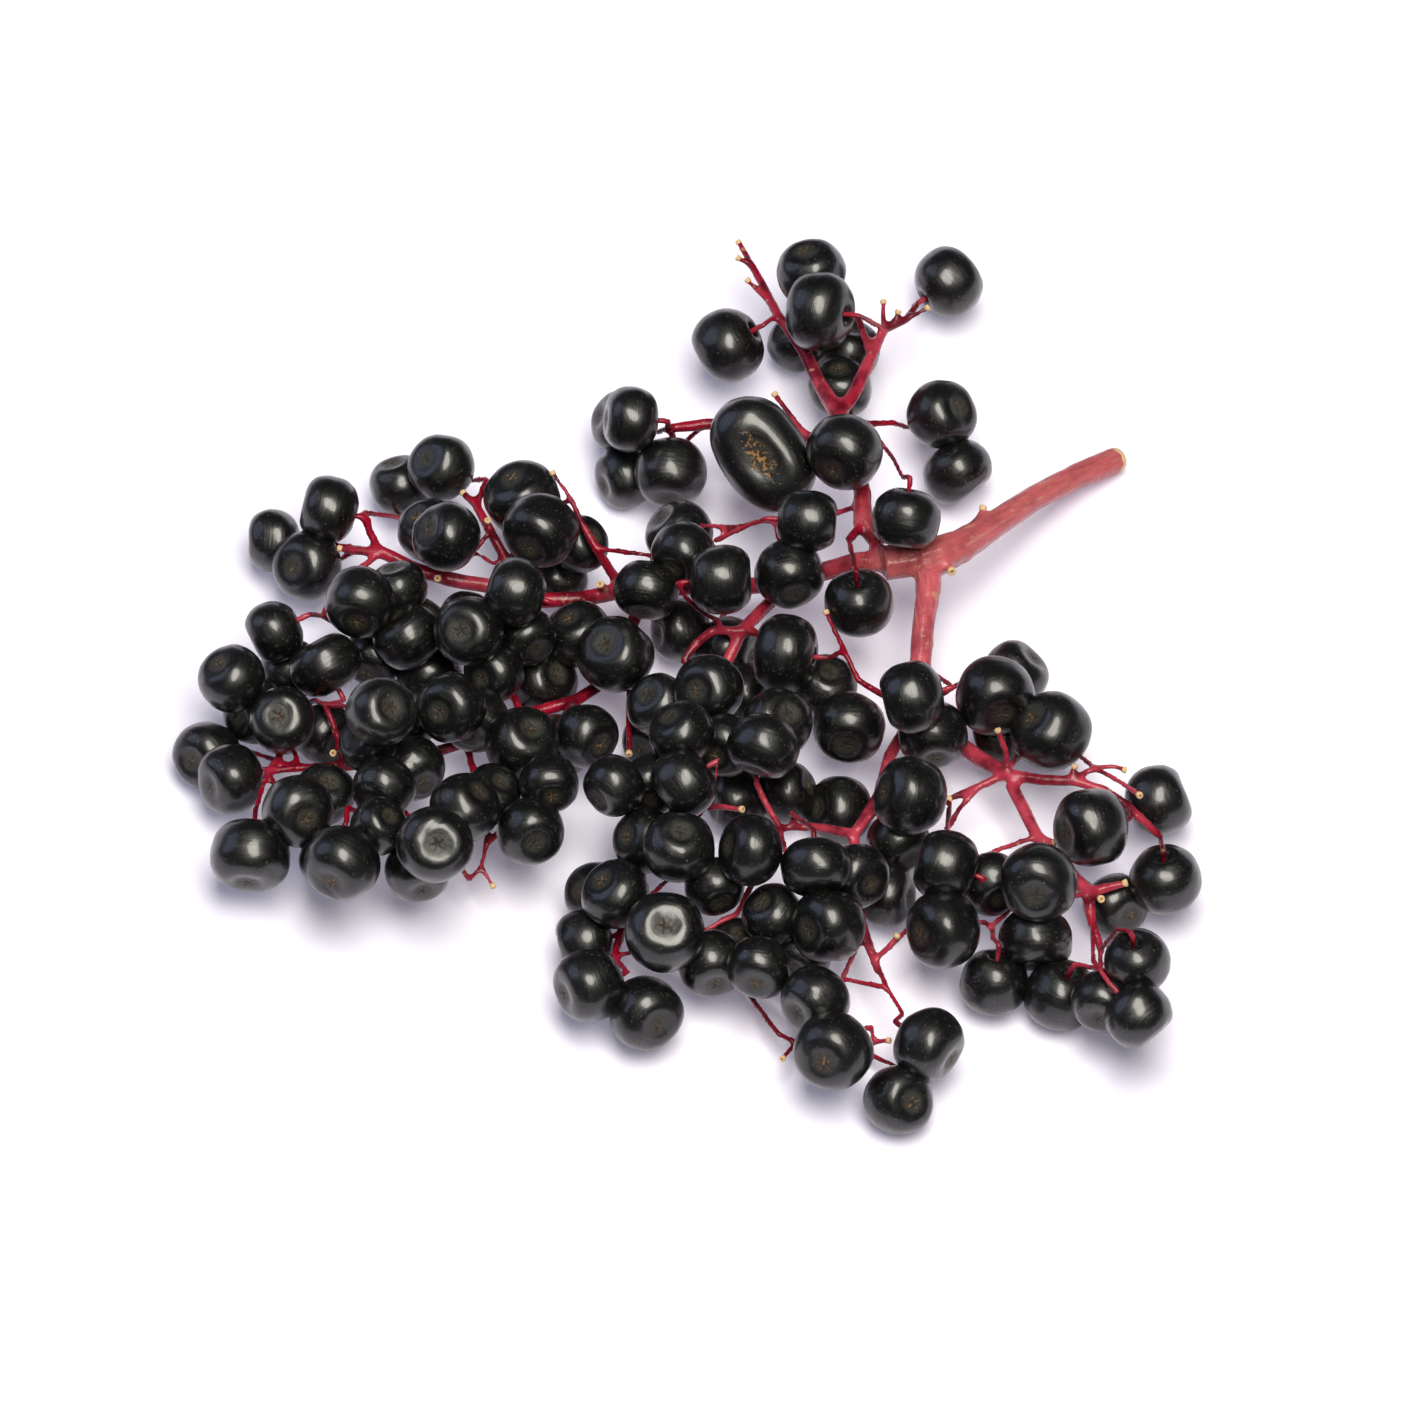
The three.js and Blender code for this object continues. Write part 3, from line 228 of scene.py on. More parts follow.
# %% [markdown]
# The pit is the surest sign of a berry. Its floor lies straight under the middle of its ring, which
# gives the berry's axis and half height. How far the ring spreads each way gives the radius and,
# for the twin, the long way of its oval.

# %% Pits
SIDES = 8
# widths from the axis are shares of a solid berry's radius, and heights of its half height
PIT_WIDTH, PIT_RIM, PIT_FLOOR = 0.24, 0.95, 0.8
PIT_DEPTH = PIT_RIM - PIT_FLOOR
FLAT_RING = 1e-5
BERRY_RADII = (2.7 * MM, 4.6 * MM)


def find_pits(bm, longest):
    """(floor, axis, radius, half height, stretch, long way) of each berry whose pit is whole."""
    for corner in bm.verts:
        ring = np.array([e.other_vert(corner).co for e in corner.link_edges])
        if len(ring) != SIDES:
            continue
        middle = ring.mean(0)
        _, spread, ways = np.linalg.svd(ring - middle)
        down = np.array(corner.co) - middle
        # eight points on a ring spread by twice its radius
        radius = spread[1] / 2 / PIT_WIDTH
        stretch = spread[0] / spread[1]
        flat_ring = spread[2] < FLAT_RING
        if flat_ring and BERRY_RADII[0] < radius < BERRY_RADII[1] and stretch < longest:
            half_height = np.linalg.norm(down) / PIT_DEPTH
            axis = Vector(down).normalized()
            yield corner.co.copy(), axis, radius, half_height, stretch, Vector(ways[0])


print("pits reach", PIT_WIDTH, "radii out and", round(PIT_DEPTH, 2), "half heights in")

# %% [markdown]
# Where a neighbour has grown over both the pit and the crown, two of the eight upright sides that
# share an edge are still enough. Their normals meet on the axis, the edge's length gives the half
# height, and the skin's slope at its two ends tells the crown's side from the pit's.

# %% Upright sides
SIDE_WIDTH, SIDE_BOTTOM, SIDE_TOP = 0.93, -0.42, 0.38
SIDE_OUT = SIDE_WIDTH * math.cos(math.pi / SIDES)
SIDE_FOLD, FOLD_SLACK = math.cos(math.tau / SIDES), 0.001


def whole_sides(bm):
    """(middle, normal, corners) of each flat patch that is a rectangle."""
    for patch in flat_patches(bm):
        corners = {v for f in patch for v in f.verts}
        places = np.array([v.co for v in corners])
        middle = places.mean(0)
        reach = np.linalg.norm(places - middle, axis=1)
        if len(corners) == 4 and reach.max() - reach.min() < SAME_LENGTH:
            yield middle, np.array(patch[0].normal), corners


def find_by_sides(bm):
    """(middle, axis, radius, half height) for each pair of whole sides that share an edge."""
    for (first, one_way, some), (second, other_way, more) in combinations(whole_sides(bm), 2):
        shared = list(some & more)
        if len(shared) != 2 or abs(one_way @ other_way - SIDE_FOLD) > FOLD_SLACK:
            continue
        along = (shared[1].co - shared[0].co).normalized()
        # the skin slopes in more gently round the pit than round the crown
        slopes = [max(abs(f.normal.dot(along)) for f in v.link_faces) for v in shared]
        axis = along if slopes[0] > slopes[1] else -along
        half_height = (shared[1].co - shared[0].co).length / (SIDE_TOP - SIDE_BOTTOM)
        out = np.linalg.norm(first - second) / np.linalg.norm(one_way - other_way)
        middle = Vector(first - one_way * out) - axis * half_height * (SIDE_BOTTOM + SIDE_TOP) / 2
        yield middle, axis, out / SIDE_OUT, half_height


print("upright sides stand", round(SIDE_OUT, 3), "radii from the axis")

# %% [markdown]
# Now every node is searched for its berries, by pits first, then by sides, and last by crowns,
# which don't tell how flat a berry is. A berry that was found one way isn't added again.

# %% Berries
CROWN_WIDTH, CROWN_HEIGHT = 0.47, 0.93
USUAL_FLATNESS, BERRY_FLATNESSES = 0.9, (0.5, 1.2)
LONGEST_ROUND, LONGEST_TWIN = 1.01, 1.5


def find_berries(name):
    """The berries of one node, each as a dict of its middle, axis, size and long way."""
    bm = merged_copy(name)
    found = []

    def note(middle, axis, radius, half_height, stretch, long_way):
        """Add a berry, unless it was found already."""
        if all((b["middle"] - middle).length > radius / 2 for b in found):
            found.append(dict(node=name, middle=middle, axis=axis, radius=radius, stretch=stretch,
                              half_height=half_height, long_way=long_way))

    longest = LONGEST_TWIN if name == "berry_twin" else LONGEST_ROUND
    for floor_point, axis, radius, half_height, stretch, long_way in find_pits(bm, longest):
        if BERRY_FLATNESSES[0] < half_height / radius < BERRY_FLATNESSES[1]:
            note(floor_point + axis * PIT_FLOOR * half_height, axis, radius, half_height, stretch,
                 long_way)
    for middle, axis, radius, half_height in find_by_sides(bm):
        if BERRY_RADII[0] < radius < BERRY_RADII[1]:
            note(middle, axis, radius, half_height, 1.0, axis.orthogonal().normalized())
    for crown, axis, crown_radius in regular_patches(bm, (SIDES,)):
        radius = crown_radius / CROWN_WIDTH
        if BERRY_RADII[0] < radius < BERRY_RADII[1]:
            half_height = USUAL_FLATNESS * radius
            note(crown - axis * CROWN_HEIGHT * half_height, axis, radius, half_height, 1.0,
                 axis.orthogonal().normalized())
    bm.free()
    return found


berries = [berry for name in berry_nodes for berry in find_berries(name)]
print("found", len(berries), "berries")

# %% [markdown]
# A berry is made once, with a radius of one, by spinning half its outline round its axis, as on a
# lathe. The outline starts in the stalk pit, goes over the body, which is a little squarer than an
# ellipse, and ends on the crown: a broad soft ring round a shallow dish. A ball pushed about by a
# modifier would give the lumps, but not the ring and the pit.

# %% Outline of a berry
BODY_STEPS = 24
SQUARENESS = 2.3
MARGIN = 0.04
BODY_FROM, BODY_TO = -70, 56
PIT_OUTLINE = [(0, -0.68), (0.08, -0.69), (0.13, -0.73), (0.165, -0.8), (0.2, -0.865),
               (0.26, -0.915), (0.34, -0.94)]
CROWN_OUTLINE = [(0.68, 0.79), (0.63, 0.821), (0.58, 0.843), (0.53, 0.858), (0.48, 0.866),
                 (0.43, 0.868), (0.38, 0.864), (0.33, 0.857), (0.28, 0.85), (0.22, 0.844),
                 (0.16, 0.84), (0.11, 0.837), (0.07, 0.831), (0.03, 0.822), (0, 0.818)]


def body_point(degrees):
    """A point on the body's outline, a superellipse."""
    angle = math.radians(degrees)
    share = 2 / SQUARENESS
    out = math.cos(angle) ** share
    return out, math.copysign(abs(math.sin(angle)) ** share, angle)


def berry_outline():
    """Half the outline of a unit berry, from the bottom of its pit to the middle of its crown."""
    step = (BODY_TO - BODY_FROM) / BODY_STEPS
    body = [body_point(BODY_FROM + step * i) for i in range(BODY_STEPS + 1)]
    body = [point for point in body if point[1] > 0 or point[0] > PIT_OUTLINE[-1][0] + MARGIN]
    body = [point for point in body if point[1] < 0 or point[0] > CROWN_OUTLINE[0][0] + MARGIN]
    return PIT_OUTLINE + body + CROWN_OUTLINE


print("the outline has", len(berry_outline()), "points")

# %% [markdown]
# The spun skin needs a map for its finish. A UV map made here holds, for each point, the angle from
# the crown as a distance from the map's middle, and the turn round the axis as a direction. An
# unwrap would cut the berry along seams, and this map needs none.

# %% One round berry
SPIN_STEPS = 48
POLE_SLACK = 1e-5
UV_MIDDLE = 0.5


def spun(outline, steps, slack):
    """The closed skin that an outline makes when it turns round the Z axis."""
    bm = bmesh.new()
    points = [bm.verts.new((out, 0, up)) for out, up in outline]
    edges = [bm.edges.new(pair) for pair in zip(points, points[1:])]
    bmesh.ops.spin(bm, geom=points + edges, cent=(0, 0, 0), axis=(0, 0, 1), dvec=(0, 0, 0),
                   angle=math.tau, steps=steps, use_merge=True)
    bmesh.ops.remove_doubles(bm, verts=bm.verts, dist=slack)
    bmesh.ops.recalc_face_normals(bm, faces=bm.faces)
    return bm


def unit_berry():
    """The unit berry's mesh, with a UV map that measures turns out from the crown's middle."""
    bm = spun(berry_outline(), SPIN_STEPS, POLE_SLACK)
    mesh = bpy.data.meshes.new("round_berry")
    layer = bm.loops.layers.uv.new("around_crown")
    for loop in (loop for face in bm.faces for loop in face.loops):
        x, y, z = loop.vert.co
        from_crown = math.atan2(math.hypot(x, y), z) / math.tau
        turn = math.atan2(y, x)
        loop[layer].uv = (UV_MIDDLE + from_crown * math.cos(turn),
                          UV_MIDDLE + from_crown * math.sin(turn))
    bm.to_mesh(mesh)
    bm.free()
    return mesh


round_berry = unit_berry()
print("one berry has", len(round_berry.polygons), "faces")

# %% [markdown]
# No two berries are alike. Each copy is pushed in and out a little by smooth noise. Some have a
# soft dent where a neighbour pressed, and some a short crease in the skin. Everything random has a
# fixed seed, so every run gives the same cluster.

# %% Lumps, dents and creases
LUMPS, LUMP_SCALE = 0.05, 1.15
RIPPLES, RIPPLE_SCALE = 0.014, 3.0
NOISE_STEPS = (7.3, 3.1, 5.7)
DENTED, DENT_DEPTH, LEAST_DENT, DENT_WIDTH = 0.45, 0.075, 0.5, 0.42
CREASED, CREASE_DEPTH, CREASE_WIDTH, CREASE_LENGTH = 0.3, 0.035, 0.07, 0.55
TWIN_FULLNESS = 0.22


def random_direction(chance):
    """A direction with the same odds for every part of a sphere."""
    height = chance.uniform(-1, 1)
    turn = chance.uniform(0, math.tau)
    out = math.sqrt(1 - height * height)
    return np.array([out * math.cos(turn), out * math.sin(turn), height])


def lumpy(points, seed):
    """The unit points moved in or out by smooth noise, and by a dent or a crease."""
    chance = random.Random(seed)
    offset = Vector([seed * step for step in NOISE_STEPS])
    shifts = np.array([LUMPS * noise.noise(Vector(p) * LUMP_SCALE + offset)
                       + RIPPLES * noise.noise(Vector(p) * RIPPLE_SCALE + offset) for p in points])
    directions = points / np.linalg.norm(points, axis=1)[:, None]
    if chance.random() < DENTED:
        away = np.linalg.norm(directions - random_direction(chance), axis=1)
        shifts -= DENT_DEPTH * chance.uniform(LEAST_DENT, 1) * np.exp(-((away / DENT_WIDTH) ** 2))
    if chance.random() < CREASED:
        middle = random_direction(chance)
        across = np.cross(middle, random_direction(chance))
        across /= np.linalg.norm(across)
        off_line = directions @ across
        away = np.linalg.norm(directions - middle, axis=1)
        fade = np.exp(-((away / CREASE_LENGTH) ** 2))
        shifts -= CREASE_DEPTH * fade * np.exp(-((off_line / CREASE_WIDTH) ** 2))
    return points * (1 + shifts)[:, None]


moved = lumpy(np.array([[1.0, 0.0, 0.0]]), 1)
print("on the first berry, (1, 0, 0) moves to", moved[0].round(3))

# %% [markdown]
# Each berry of the solid model now gets its copy, which is scaled, turned about its axis by an
# angle of its own, and moved into place. A copy that would reach below the floor is lifted onto it.
# The copies of a node are joined into one object, which stands for that node's solid.

# %% Grow each berry
def grown_berry(berry, seed):
    """A copy of the round berry in its place, with its own lumps."""
    mesh = round_berry.copy()
    points = np.empty(len(mesh.vertices) * 3, np.float32)
    mesh.vertices.foreach_get("co", points)
    points = lumpy(points.reshape(-1, 3), seed)
    radius, half_height = berry["radius"], berry["half_height"]
    long_way = berry["long_way"]
    if berry["stretch"] > LONGEST_ROUND:
        points[:, 1:] *= 1 + TWIN_FULLNESS * points[:, :1] ** 2
    else:
        long_way = Matrix.Rotation(seed, 3, berry["axis"]) @ long_way
    wide_way = berry["axis"].cross(long_way).normalized()
    own_ways = np.array([long_way * radius * berry["stretch"], wide_way * radius,
                         berry["axis"] * half_height])
    points = points @ own_ways + np.array(berry["middle"])
    lowest = points[:, 2].min()
    if lowest < 0:
        points[:, 2] -= lowest
    mesh.vertices.foreach_set("co", points.astype(np.float32).ravel())
    tone = mesh.attributes.new("berry_tone", "FLOAT", "POINT")
    own_tone = random.Random(seed).random()
    tone.data.foreach_set("value", np.full(len(mesh.vertices), own_tone, np.float32))
    return mesh


def joined(meshes, name):
    """One object made of several meshes."""
    bm = bmesh.new()
    for mesh in meshes:
        bm.from_mesh(mesh)
        bpy.data.meshes.remove(mesh)
    mesh = bpy.data.meshes.new(name)
    bm.to_mesh(mesh)
    bm.free()
    mesh.shade_smooth()
    made = bpy.data.objects.new(name, mesh)
    bpy.context.scene.collection.objects.link(made)
    return made


berry_objects = []
for name in berry_nodes:
    grown = [grown_berry(b, 1 + i) for i, b in enumerate(berries) if b["node"] == name]
    made = joined(grown, name + "_round")
    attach(made, "root")
    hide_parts(name)
    berry_objects.append(made)
print(len(berry_objects), "pieces of berries")

# %% [markdown]
# The stems of the solid model are straight lengths with four to seven sides, and stop just short of
# the berries and of each other. In a real cluster they're grown together. The flat ends of the
# lengths tell the three cases apart: an end at a berry's pit gets a stub into the pit, an end
# beside another stem gets a plug across the slit, and any other end is a cut or a broken twig.

# %% Ends of the stems
PIT_MOUTH = 0.12 * MM
AT_PIT = 0.45 * MM
BESIDE = 1.5 * MM
STOUT = 0.55 * MM
FREE = 0.3 * MM
STEM_SIDES = (4, 5, 6, 7)

stem_bms = {name: merged_copy(name) for name in stem_nodes}
stem_trees = {name: BVHTree.FromBMesh(bm) for name, bm in stem_bms.items()}


def mouth_of(berry, beyond):
    """The point on the berry's axis that far outside its pit."""
    return berry["middle"] - berry["axis"] * (PIT_RIM * berry["half_height"] + beyond)


def nearest_other(point, own):
    """The nearest point on any stem but its own, and how far off it is."""
    hits = [tree.find_nearest(point) for name, tree in stem_trees.items() if name != own]
    nearest = min(hits, key=lambda hit: hit[3])
    return nearest[0], nearest[3]


mouths = KDTree(len(berries))
for index, berry in enumerate(berries):
    mouths.insert(mouth_of(berry, PIT_MOUTH), index)
mouths.balance()
stalked, joints, twig_ends = set(), [], []
for name, bm in stem_bms.items():
    for middle, normal, radius in regular_patches(bm, STEM_SIDES):
        _, index, away = mouths.find(middle)
        other, gap = nearest_other(middle, name)
        if away < AT_PIT:
            stalked.add(index)
        elif gap < BESIDE and radius > STOUT:
            joints.append((middle - normal * radius, other, radius))
        elif gap > FREE:
            twig_ends.append((middle, normal, radius))
print(len(stalked), "berries on stalks,", len(joints), "joints,", len(twig_ends), "free ends")

# %% [markdown]
# All stems, stubs and plugs go into one mesh. A stub reaches from under the pit's floor to a little
# outside the pit, and a plug is as thick as its stem. The solids leave these gaps because no two of
# them may overlap.

# %% Stubs and plugs
SWELLING = 0.02 * MM
STUB_RADIUS = 0.34 * MM
STUB_FLARE = 0.4 * MM
STUB_OUTSIDE = 0.8 * MM
STUB_SIDES = 8
STUB_FOOT = 0.64


def add_cone(bm, start, end, start_radius, end_radius):
    """A closed round length from one point to another."""
    turn = (end - start).to_track_quat("Z", "Y").to_matrix().to_4x4()
    place = Matrix.Translation((start + end) / 2) @ turn
    bmesh.ops.create_cone(bm, cap_ends=True, segments=STUB_SIDES, radius1=start_radius,
                          radius2=end_radius, depth=(end - start).length, matrix=place)


def pit_point(berry):
    """The point on the berry's axis where its stalk's stub ends, below the floor of its pit."""
    return berry["middle"] - berry["axis"] * STUB_FOOT * berry["half_height"]


stem_copy = bmesh.new()
for bm in stem_bms.values():
    part = bpy.data.meshes.new("part")
    bm.to_mesh(part)
    stem_copy.from_mesh(part)
    bpy.data.meshes.remove(part)
stem_copy.normal_update()
for vert in stem_copy.verts:
    vert.co += vert.normal * SWELLING
for index in sorted(stalked):
    add_cone(stem_copy, pit_point(berries[index]), mouth_of(berries[index], STUB_OUTSIDE),
             STUB_RADIUS, STUB_FLARE)
for start, end, radius in joints:
    further = (end - start).normalized() * radius
    add_cone(stem_copy, start, end + further, radius, radius)
stems_mesh = bpy.data.meshes.new("stems")
stem_copy.to_mesh(stems_mesh)
stem_copy.free()
stems = bpy.data.objects.new("stems", stems_mesh)
bpy.context.scene.collection.objects.link(stems)
print("stems, stubs and plugs have", len(stems_mesh.polygons), "faces")

# %% [markdown]
# A voxel remesh makes one skin of all that, which closes the slits. Smoothing then rounds it, and
# thins the finest stalks most, as their skin curves most. Joining the pieces with booleans instead
# would leave hard creases at every fork.

# %% One skin over all stems
VOXEL = 0.27 * MM
SMOOTHING_SHARE, SMOOTHING_ROUNDS = 0.5, 8

remesh = stems.modifiers.new("one_skin", "REMESH")
remesh.mode = "VOXEL"
remesh.voxel_size = VOXEL
remesh.adaptivity = 0
smooth = stems.modifiers.new("rounding", "SMOOTH")
smooth.factor = SMOOTHING_SHARE
smooth.iterations = SMOOTHING_ROUNDS
grown_stems = stems.evaluated_get(bpy.context.evaluated_depsgraph_get())
skin = bpy.data.meshes.new_from_object(grown_stems)
stems.modifiers.clear()
stems.data = skin
print("the skin of the stems has", len(skin.polygons), "faces")

# %% [markdown]
# The colour of a stem follows its thickness: the main stalk is a dusky pink, and the thin stalks are
# deep crimson. A ray sent inward from each point of the skin measures the thickness there. It is
# evened out with its neighbours', and stored on the mesh for the material to read. Noise along the
# normals gives the bark its relief, and the stout stems lose the fullness that growing the skin
# gave them.

# %% Thickness and relief
THINNEST, THICKEST = 0.6 * MM, 2.8 * MM
RELIEF = 0.09 * MM
SLIMMING = 0.16 * MM
RELIEF_SCALE = 700
FINE_RELIEF, STOUT_RELIEF = 0.4, 0.3
RAY_START = 0.02 * MM
GIRTH_ROUNDS = 8

bm = bmesh.new()
bm.from_mesh(skin)
bm.normal_update()
tree = BVHTree.FromBMesh(bm)
girth = []
for vert in bm.verts:
    hit = tree.ray_cast(vert.co - vert.normal * RAY_START, -vert.normal, THICKEST)
    thickness = hit[3] if hit[0] else THICKEST
    girth.append(min(1, max(0, (thickness - THINNEST) / (THICKEST - THINNEST))))
neighbours = [[e.other_vert(v).index for e in v.link_edges] for v in bm.verts]
girth = np.array(girth)
for _ in range(GIRTH_ROUNDS):
    girth = np.array([(girth[i] + girth[n].mean()) / 2 for i, n in enumerate(neighbours)])
for vert, share in zip(bm.verts, girth):
    bump = noise.noise(vert.co * RELIEF_SCALE) * (FINE_RELIEF + STOUT_RELIEF * share)
    vert.co += vert.normal * (RELIEF * bump - SLIMMING * share)
bm.to_mesh(skin)
bm.free()
attribute = skin.attributes.new("girth", "FLOAT", "POINT")
attribute.data.foreach_set("value", girth.astype(np.float32))
skin.shade_smooth()
print("girth from", girth.min().round(2), "to", girth.max().round(2))

# %% [markdown]
# The main stalk has its own finish, so the skin is now cut in two where the stalk ends. Cutting the
# finished skin, and not growing two, keeps the fork whole. Both pieces keep the shading of the
# uncut skin along the cut, or a seam would show there.

# %% Main stalk and rays
whole_normals = np.array([v.normal for v in skin.vertices])


def is_stalk(face):
    """Whether a face of the skin lies nearest to the main stalk's solid."""
    middle = face.calc_center_median()
    away = {name: tree.find_nearest(middle)[3] for name, tree in stem_trees.items()}
    return min(away, key=away.get) == "stalk"


def cut_piece(name, faces, replaced):
    """A piece of the skin that has only those faces."""
    bm = bmesh.new()
    bm.from_mesh(skin)
    bm.faces.ensure_lookup_table()
    unwanted = [face for face in bm.faces if face.index not in faces]
    bmesh.ops.delete(bm, geom=unwanted, context="FACES")
    kept = sorted({v for f in faces for v in skin.polygons[f].vertices})
    mesh = bpy.data.meshes.new(name)
    bm.to_mesh(mesh)
    bm.free()
    mesh.shade_smooth()
    mesh.normals_split_custom_set_from_vertices(whole_normals[kept])
    made = bpy.data.objects.new(name, mesh)
    bpy.context.scene.collection.objects.link(made)
    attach(made, "root")
    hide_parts(*replaced)
    print(name, "has", len(mesh.polygons), "faces")
    return made


bm = bmesh.new()
bm.from_mesh(skin)
stalk_faces = {face.index for face in bm.faces if is_stalk(face)}
ray_faces = {face.index for face in bm.faces} - stalk_faces
bm.free()
bpy.data.objects.remove(stems)
main_stalk = cut_piece("main_stalk_bark", stalk_faces, ["stalk"])
rays = cut_piece("rays_bark", ray_faces, [name for name in stem_nodes if name != "stalk"])

# %% [markdown]
# Where a berry has dropped off or a twig was cut, the end shows pale wood: a cream ring round a
# darker core. Each is a small turned disc with a raised rim, set on the twig's end. They catch the
# light against the dark berries, so they matter more than their size suggests.

# %% Pale cut ends
END_OUTLINE = [(0, 0.1), (0.3, 0.12), (0.5, 0.24), (0.75, 0.34), (0.95, 0.26), (1.05, 0), (1, -0.5),
               (0.8, -1.1), (0, -1.2)]
END_STEPS = 14
END_LIFT = 0.05 * MM
END_SHARE = 0.85
LEAST_END = 0.32 * MM
END_SLACK = 1e-7


def turned_end(middle, normal, radius):
    """A disc with a rim, round the given axis, whose attribute says how near the core a point is."""
    outline = [(out * radius, up * radius) for out, up in END_OUTLINE]
    bm = spun(outline, END_STEPS, END_SLACK)
    turn = normal.to_track_quat("Z", "Y").to_matrix().to_4x4()
    bm.transform(Matrix.Translation(middle + normal * END_LIFT) @ turn)
    mesh = bpy.data.meshes.new("end")
    core = bm.verts.layers.float.new("core")
    for vert in bm.verts:
        from_axis = (vert.co - middle).cross(normal).length / radius
        vert[core] = max(0, 1 - from_axis)
    bm.to_mesh(mesh)
    bm.free()
    return mesh


def end_radius(radius):
    """The radius of the pale disc on a twig's end, a little less than the twig's own."""
    slimmed = radius - SLIMMING if radius > 2 * STOUT else radius
    return max(slimmed * END_SHARE, LEAST_END)


cut_ends = joined([turned_end(middle, normal, end_radius(radius))
                   for middle, normal, radius in twig_ends], "cut_ends")
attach(cut_ends, "root")
print(len(twig_ends), "cut ends")

# %% [markdown]
# The finishes are built from nodes, and a few helpers keep that code short: one adds a node and
# links its inputs, and the others make the commonest kinds.

# %% Helpers for nodes
PLAIN, SOFT, FINE = 1.0, 2.0, 3.0


def add_node(tree, kind, inputs=None, **settings):
    """A new node with its settings, and each input set to a value or linked to a socket."""
    node = tree.nodes.new(kind)
    for name, value in settings.items():
        setattr(node, name, value)
    for socket, value in (inputs or {}).items():
        if isinstance(value, bpy.types.NodeSocket):
            tree.links.new(value, node.inputs[socket])
        else:
            node.inputs[socket].default_value = value
    return node


def maths(tree, operation, *values):
    """The result of a sum on numbers."""
    return add_node(tree, "ShaderNodeMath", dict(enumerate(values)), operation=operation).outputs[0]


def vectors(tree, operation, *values):
    """The node of a sum on vectors, as its result may be a vector or a number."""
    return add_node(tree, "ShaderNodeVectorMath", dict(enumerate(values)), operation=operation)


def blend(tree, share, first, second):
    """A colour between two others."""
    node = add_node(tree, "ShaderNodeMix", {0: share, 6: first, 7: second}, data_type="RGBA")
    return node.outputs[2]


def ramp(tree, value, low, high):
    """0 below low, 1 above high, smooth between. Low may be the greater of the two."""
    return add_node(tree, "ShaderNodeMapRange", {0: value, 1: low, 2: high},
                    interpolation_type="SMOOTHSTEP").outputs[0]


def speckle(tree, vector, scale, detail=SOFT):
    """Noise of that scale, from 0 to 1. More detail makes it finer."""
    return add_node(tree, "ShaderNodeTexNoise",
                    {"Vector": vector, "Scale": scale, "Detail": detail}).outputs[0]


# %% [markdown]
# Each finish is a node group, which puts out what changes over the surface: a colour, a roughness,
# a height, and a coat for the skin. What is the same all over is set on the material's own shader.
# Materials can share a group, and give it other colours.

# %% Helpers for groups and materials
BUMP_STRENGTH = 0.8


def new_group(name, inputs, outputs):
    """A node group with named colour inputs and outputs of the given kinds."""
    group = bpy.data.node_groups.new(name, "ShaderNodeTree")
    for socket in inputs:
        group.interface.new_socket(socket, in_out="INPUT", socket_type="NodeSocketColor")
    for socket, kind in outputs.items():
        group.interface.new_socket(socket, in_out="OUTPUT", socket_type=kind)
    start = group.nodes.new("NodeGroupInput")
    end = group.nodes.new("NodeGroupOutput")
    return group, start, end


def new_material(name, group, colors, bump, settings):
    """A material whose colour, roughness, bump and perhaps coat come from a group."""
    material = bpy.data.materials.new(name)
    material.use_nodes = True
    tree = material.node_tree
    shader = tree.nodes["Principled BSDF"]
    effect = add_node(tree, "ShaderNodeGroup", node_tree=group)
    for socket, value in colors.items():
        effect.inputs[socket].default_value = value
    height = add_node(tree, "ShaderNodeBump", {"Height": effect.outputs["Height"],
                                               "Distance": bump, "Strength": BUMP_STRENGTH})
    tree.links.new(effect.outputs["Color"], shader.inputs["Base Color"])
    tree.links.new(effect.outputs["Roughness"], shader.inputs["Roughness"])
    tree.links.new(height.outputs[0], shader.inputs["Normal"])
    if "Coat" in effect.outputs:
        tree.links.new(effect.outputs["Coat"], shader.inputs["Coat Weight"])
    for socket, value in settings.items():
        shader.inputs[socket].default_value = value
    return material


# %% [markdown]
# The skin is nearly black with a satin gloss, so its colour says little and its roughness and
# relief say a lot. Very fine streaks run in rings round the berry. They come from noise that is
# read at the direction from the crown and squeezed along the way out from it.

# %% Streaks of the skin
STREAK_SIZE = (1.4, 1.4, 0)
RINGS, OWN_SHIFT = 34, 60


def fine_streaks(group, around, from_crown, tone):
    """Fine streaks in rings round the crown, which differ from berry to berry."""
    depth = maths(group, "MULTIPLY", from_crown, RINGS)
    own = maths(group, "MULTIPLY", tone, OWN_SHIFT)
    shift = add_node(group, "ShaderNodeCombineXYZ", {0: own, 1: own, 2: depth}).outputs[0]
    bands = vectors(group, "MULTIPLY_ADD", around, STREAK_SIZE, shift).outputs[0]
    return speckle(group, bands, scale=1, detail=FINE)


print("streaks are squeezed", RINGS, "times")

# %% [markdown]
# The crown has a scar where the flower's parts stood: five dark rays round a small heart. The turn
# round the crown is folded like a fan, so that one ray makes all five, and noise keeps them uneven.
# The twin berry has one long golden scar instead.

# %% Scars
STAR_POINTS, STAR_WOBBLE = 5, 1.6
STAR_EDGE, STAR_UNEVEN = (0.115, 0.08), 0.03
STAR_LINE, LINE_RAGGED = (0.019, 0.009), 0.01
HEART_EDGE = (0.03, 0.014)
BLOTCH_SCALE = 1500
LONG_SCAR_SIZE, LONG_SCAR_EDGE, LONG_SCAR_BROKEN = (0.08, 0.05), (1.95, 1.5), 2


